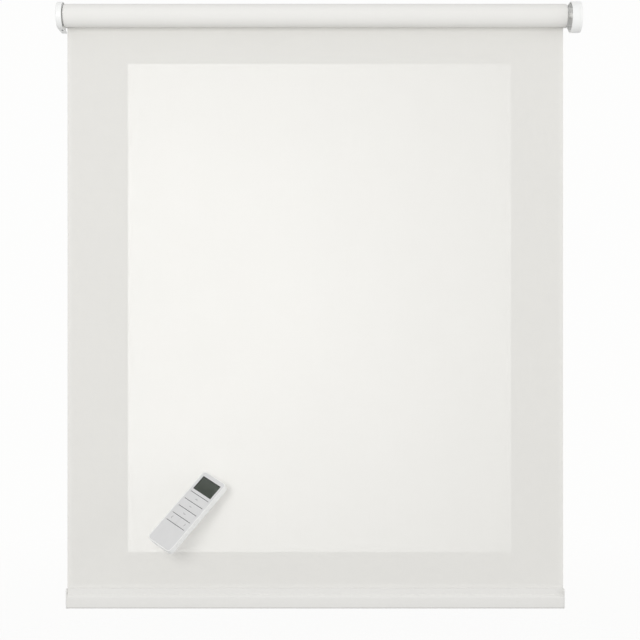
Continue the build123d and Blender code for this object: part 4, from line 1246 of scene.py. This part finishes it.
class BLIND_OT_stage(bpy.types.Operator):
    """Set up the floor, the window behind the cloth, the lights and the camera"""

    bl_idname = "blind.stage"
    bl_label = "Stage"

    def execute(self, context):
        look = context.scene.blind_stage
        self.window(look)
        self.floor(look)
        self.world(look)
        target = Vector((0, 0, look.camera_height))
        key_place, key_size = (-0.7, -3.0, -0.05), 1.1
        fill_place, fill_size = (3.2, -0.9, -0.35), 1.6
        self.softbox("key_light", key_place, target, key_size, look.key)
        self.softbox("fill_light", fill_place, target, fill_size, look.fill)
        camera = new_object("camera", bpy.data.cameras.new("camera"))
        camera.data.sensor_width = 36
        camera.data.lens = look.lens
        camera.data.clip_end = 100
        camera.location = (look.camera_side, -look.camera_distance, look.camera_height)
        camera.rotation_euler = (math.pi / 2, 0, 0)
        bpy.context.scene.camera = camera
        bpy.context.scene.view_settings.view_transform = "Standard"
        return {"FINISHED"}

    @staticmethod
    def softbox(name, place, target, size, power):
        """Large soft light that faces the blind."""
        light = bpy.data.lights.new(name, "AREA")
        light.shape = "SQUARE"
        light.size = size
        light.energy = power
        lamp = new_object(name, light)
        lamp.location = place
        lamp.rotation_euler = (target - Vector(place)).to_track_quat("-Z", "Y").to_euler()

    @staticmethod
    def panel(name, corners, material):
        """Flat stage panel."""
        mesh = bpy.data.meshes.new(name)
        mesh.from_pydata(corners, [], [tuple(range(len(corners)))])
        mesh.materials.append(material)
        new_object(name, mesh)

    def window(self, look):
        """Wall and bright window, which show only from the front, through the open weave."""
        material, tree, output = start_material("stage_window")
        place = put(tree, "ShaderNodeTexCoord").outputs["Object"]
        bright = inside(tree, place, look.window_low, look.window_high, (0, 2))
        middle = (look.glow_middle[0], 0, look.glow_middle[1])
        away = put(tree, "ShaderNodeVectorMath", {0: place, 1: middle}, operation="DISTANCE")
        window = between(tree, away.outputs["Value"], *look.window_glow, *look.glow_reach)
        extra = calculate(tree, "SUBTRACT", window, look.wall_glow)
        extra = calculate(tree, "MULTIPLY", bright, extra)
        strength = calculate(tree, "ADD", extra, look.wall_glow)
        daylight = (1, 1, 0.99, 1)
        glow = result(tree, "ShaderNodeEmission", {"Strength": strength, "Color": daylight})
        clear = result(tree, "ShaderNodeBsdfTransparent")
        path = put(tree, "ShaderNodeLightPath")
        behind = calculate(tree, "GREATER_THAN", path.outputs["Transparent Depth"], 0.5)
        seen = calculate(tree, "MULTIPLY", behind, path.outputs["Is Camera Ray"])
        back = put(tree, "ShaderNodeNewGeometry").outputs["Backfacing"]
        seen = calculate(tree, "MULTIPLY", seen, calculate(tree, "SUBTRACT", 1.0, back))
        tree.links.new(mixed(tree, seen, clear, glow), output.inputs[0])
        inset, y = 4 * MM, 2 * MM
        low_x, high_x = cloth_low.x + inset, cloth_high.x - inset
        low_z, high_z = cloth_low.z + inset, -inset
        corners = [(low_x, y, low_z), (high_x, y, low_z), (high_x, y, high_z), (low_x, y, high_z)]
        self.panel("stage_window", corners, material)

    def floor(self, look):
        """Pale floor that fades into the background with distance."""
        material, tree, output = start_material("stage_floor")
        place = put(tree, "ShaderNodeTexCoord").outputs["Object"]
        away = put(tree, "ShaderNodeVectorMath", {0: place}, operation="LENGTH")
        fade_start, fade_end, matt_share = 1.4, 3.2, 0.16
        fade = between(tree, away.outputs["Value"], start=fade_start, stop=fade_end)
        page = (*look.page, 1)
        seen = put(tree, "ShaderNodeLightPath").outputs["Is Camera Ray"]
        strength = between(tree, seen, *look.floor_glow, start=0.0, stop=1.0)
        even = result(tree, "ShaderNodeEmission", {"Color": page, "Strength": strength})
        grey = (*darker(look.page, matt_share), 1)
        matt = result(tree, "ShaderNodeBsdfDiffuse", {"Color": grey})
        pale = result(tree, "ShaderNodeAddShader", {0: even, 1: matt})
        clear = result(tree, "ShaderNodeBsdfTransparent")
        tree.links.new(mixed(tree, fade, pale, clear), output.inputs[0])
        size, z = 4.0, look.floor_height
        corners = [(-size, -size, z), (size, -size, z), (size, size, z), (-size, size, z)]
        self.panel("stage_floor", corners, material)

    @staticmethod
    def world(look):
        """Even light all round, and the page's colour where it shows."""
        world = bpy.data.worlds.new("stage_world")
        world.use_nodes = True
        tree = world.node_tree
        tree.nodes.clear()
        path = put(tree, "ShaderNodeLightPath")
        seen = path.outputs["Is Camera Ray"]
        for kind in ("Is Glossy Ray", "Is Transmission Ray"):
            seen = calculate(tree, "MAXIMUM", seen, path.outputs[kind])
        direction = put(tree, "ShaderNodeTexCoord").outputs["Generated"]
        height = parts(tree, direction)[2]
        strength = between(tree, height, *look.sky, start=-1.0, stop=1.0)
        white = (1, 1, 1, 1)
        light = result(tree, "ShaderNodeBackground", {"Color": white, "Strength": strength})
        page = result(tree, "ShaderNodeBackground", {"Color": (*look.page, 1)})
        output = put(tree, "ShaderNodeOutputWorld")
        tree.links.new(mixed(tree, seen, light, page), output.inputs[0])
        bpy.context.scene.world = world


class BLIND_PT_panel(bpy.types.Panel):
    """Buttons that dress the roller blind"""

    bl_idname = "BLIND_PT_panel"
    bl_label = "Roller Blind"
    bl_space_type = "VIEW_3D"
    bl_region_type = "UI"
    bl_category = "Blind"

    def draw(self, context):
        for operator in operators:
            self.layout.operator(operator.bl_idname)
        for name in settings:
            box = self.layout.box()
            group = getattr(context.scene, name)
            for size in group.bl_rna.properties:
                if size.identifier not in ("rna_type", "name"):
                    box.prop(group, size.identifier)


settings = {
    "blind_cloth": BlindCloth,
    "blind_roll": BlindRoll,
    "blind_spring": BlindSpring,
    "blind_hem": BlindHem,
    "blind_plastic": BlindPlastic,
    "blind_metal": BlindMetal,
    "blind_handset": BlindHandset,
    "blind_stage": BlindStage,
}
operators = (
    BLIND_OT_cloth,
    BLIND_OT_hem,
    BLIND_OT_brackets,
    BLIND_OT_motor,
    BLIND_OT_idler,
    BLIND_OT_handset,
    BLIND_OT_marks,
    BLIND_OT_stage,
)


def register():
    """Register the settings, the operators and the panel."""
    for name, group in settings.items():
        bpy.utils.register_class(group)
        setattr(bpy.types.Scene, name, bpy.props.PointerProperty(type=group))
    for operator in operators:
        bpy.utils.register_class(operator)
    bpy.utils.register_class(BLIND_PT_panel)


def unregister():
    """Take the panel, the operators and the settings away again."""
    bpy.utils.unregister_class(BLIND_PT_panel)
    for operator in reversed(operators):
        bpy.utils.unregister_class(operator)
    for name, group in reversed(settings.items()):
        delattr(bpy.types.Scene, name)
        bpy.utils.unregister_class(group)


def main():
    """Make every piece and the stage."""
    register()
    bpy.ops.blind.cloth()
    bpy.ops.blind.hem()
    bpy.ops.blind.brackets()
    bpy.ops.blind.motor()
    bpy.ops.blind.idler()
    bpy.ops.blind.handset()
    bpy.ops.blind.marks()
    bpy.ops.blind.stage()


if __name__ == "__main__":
    main()
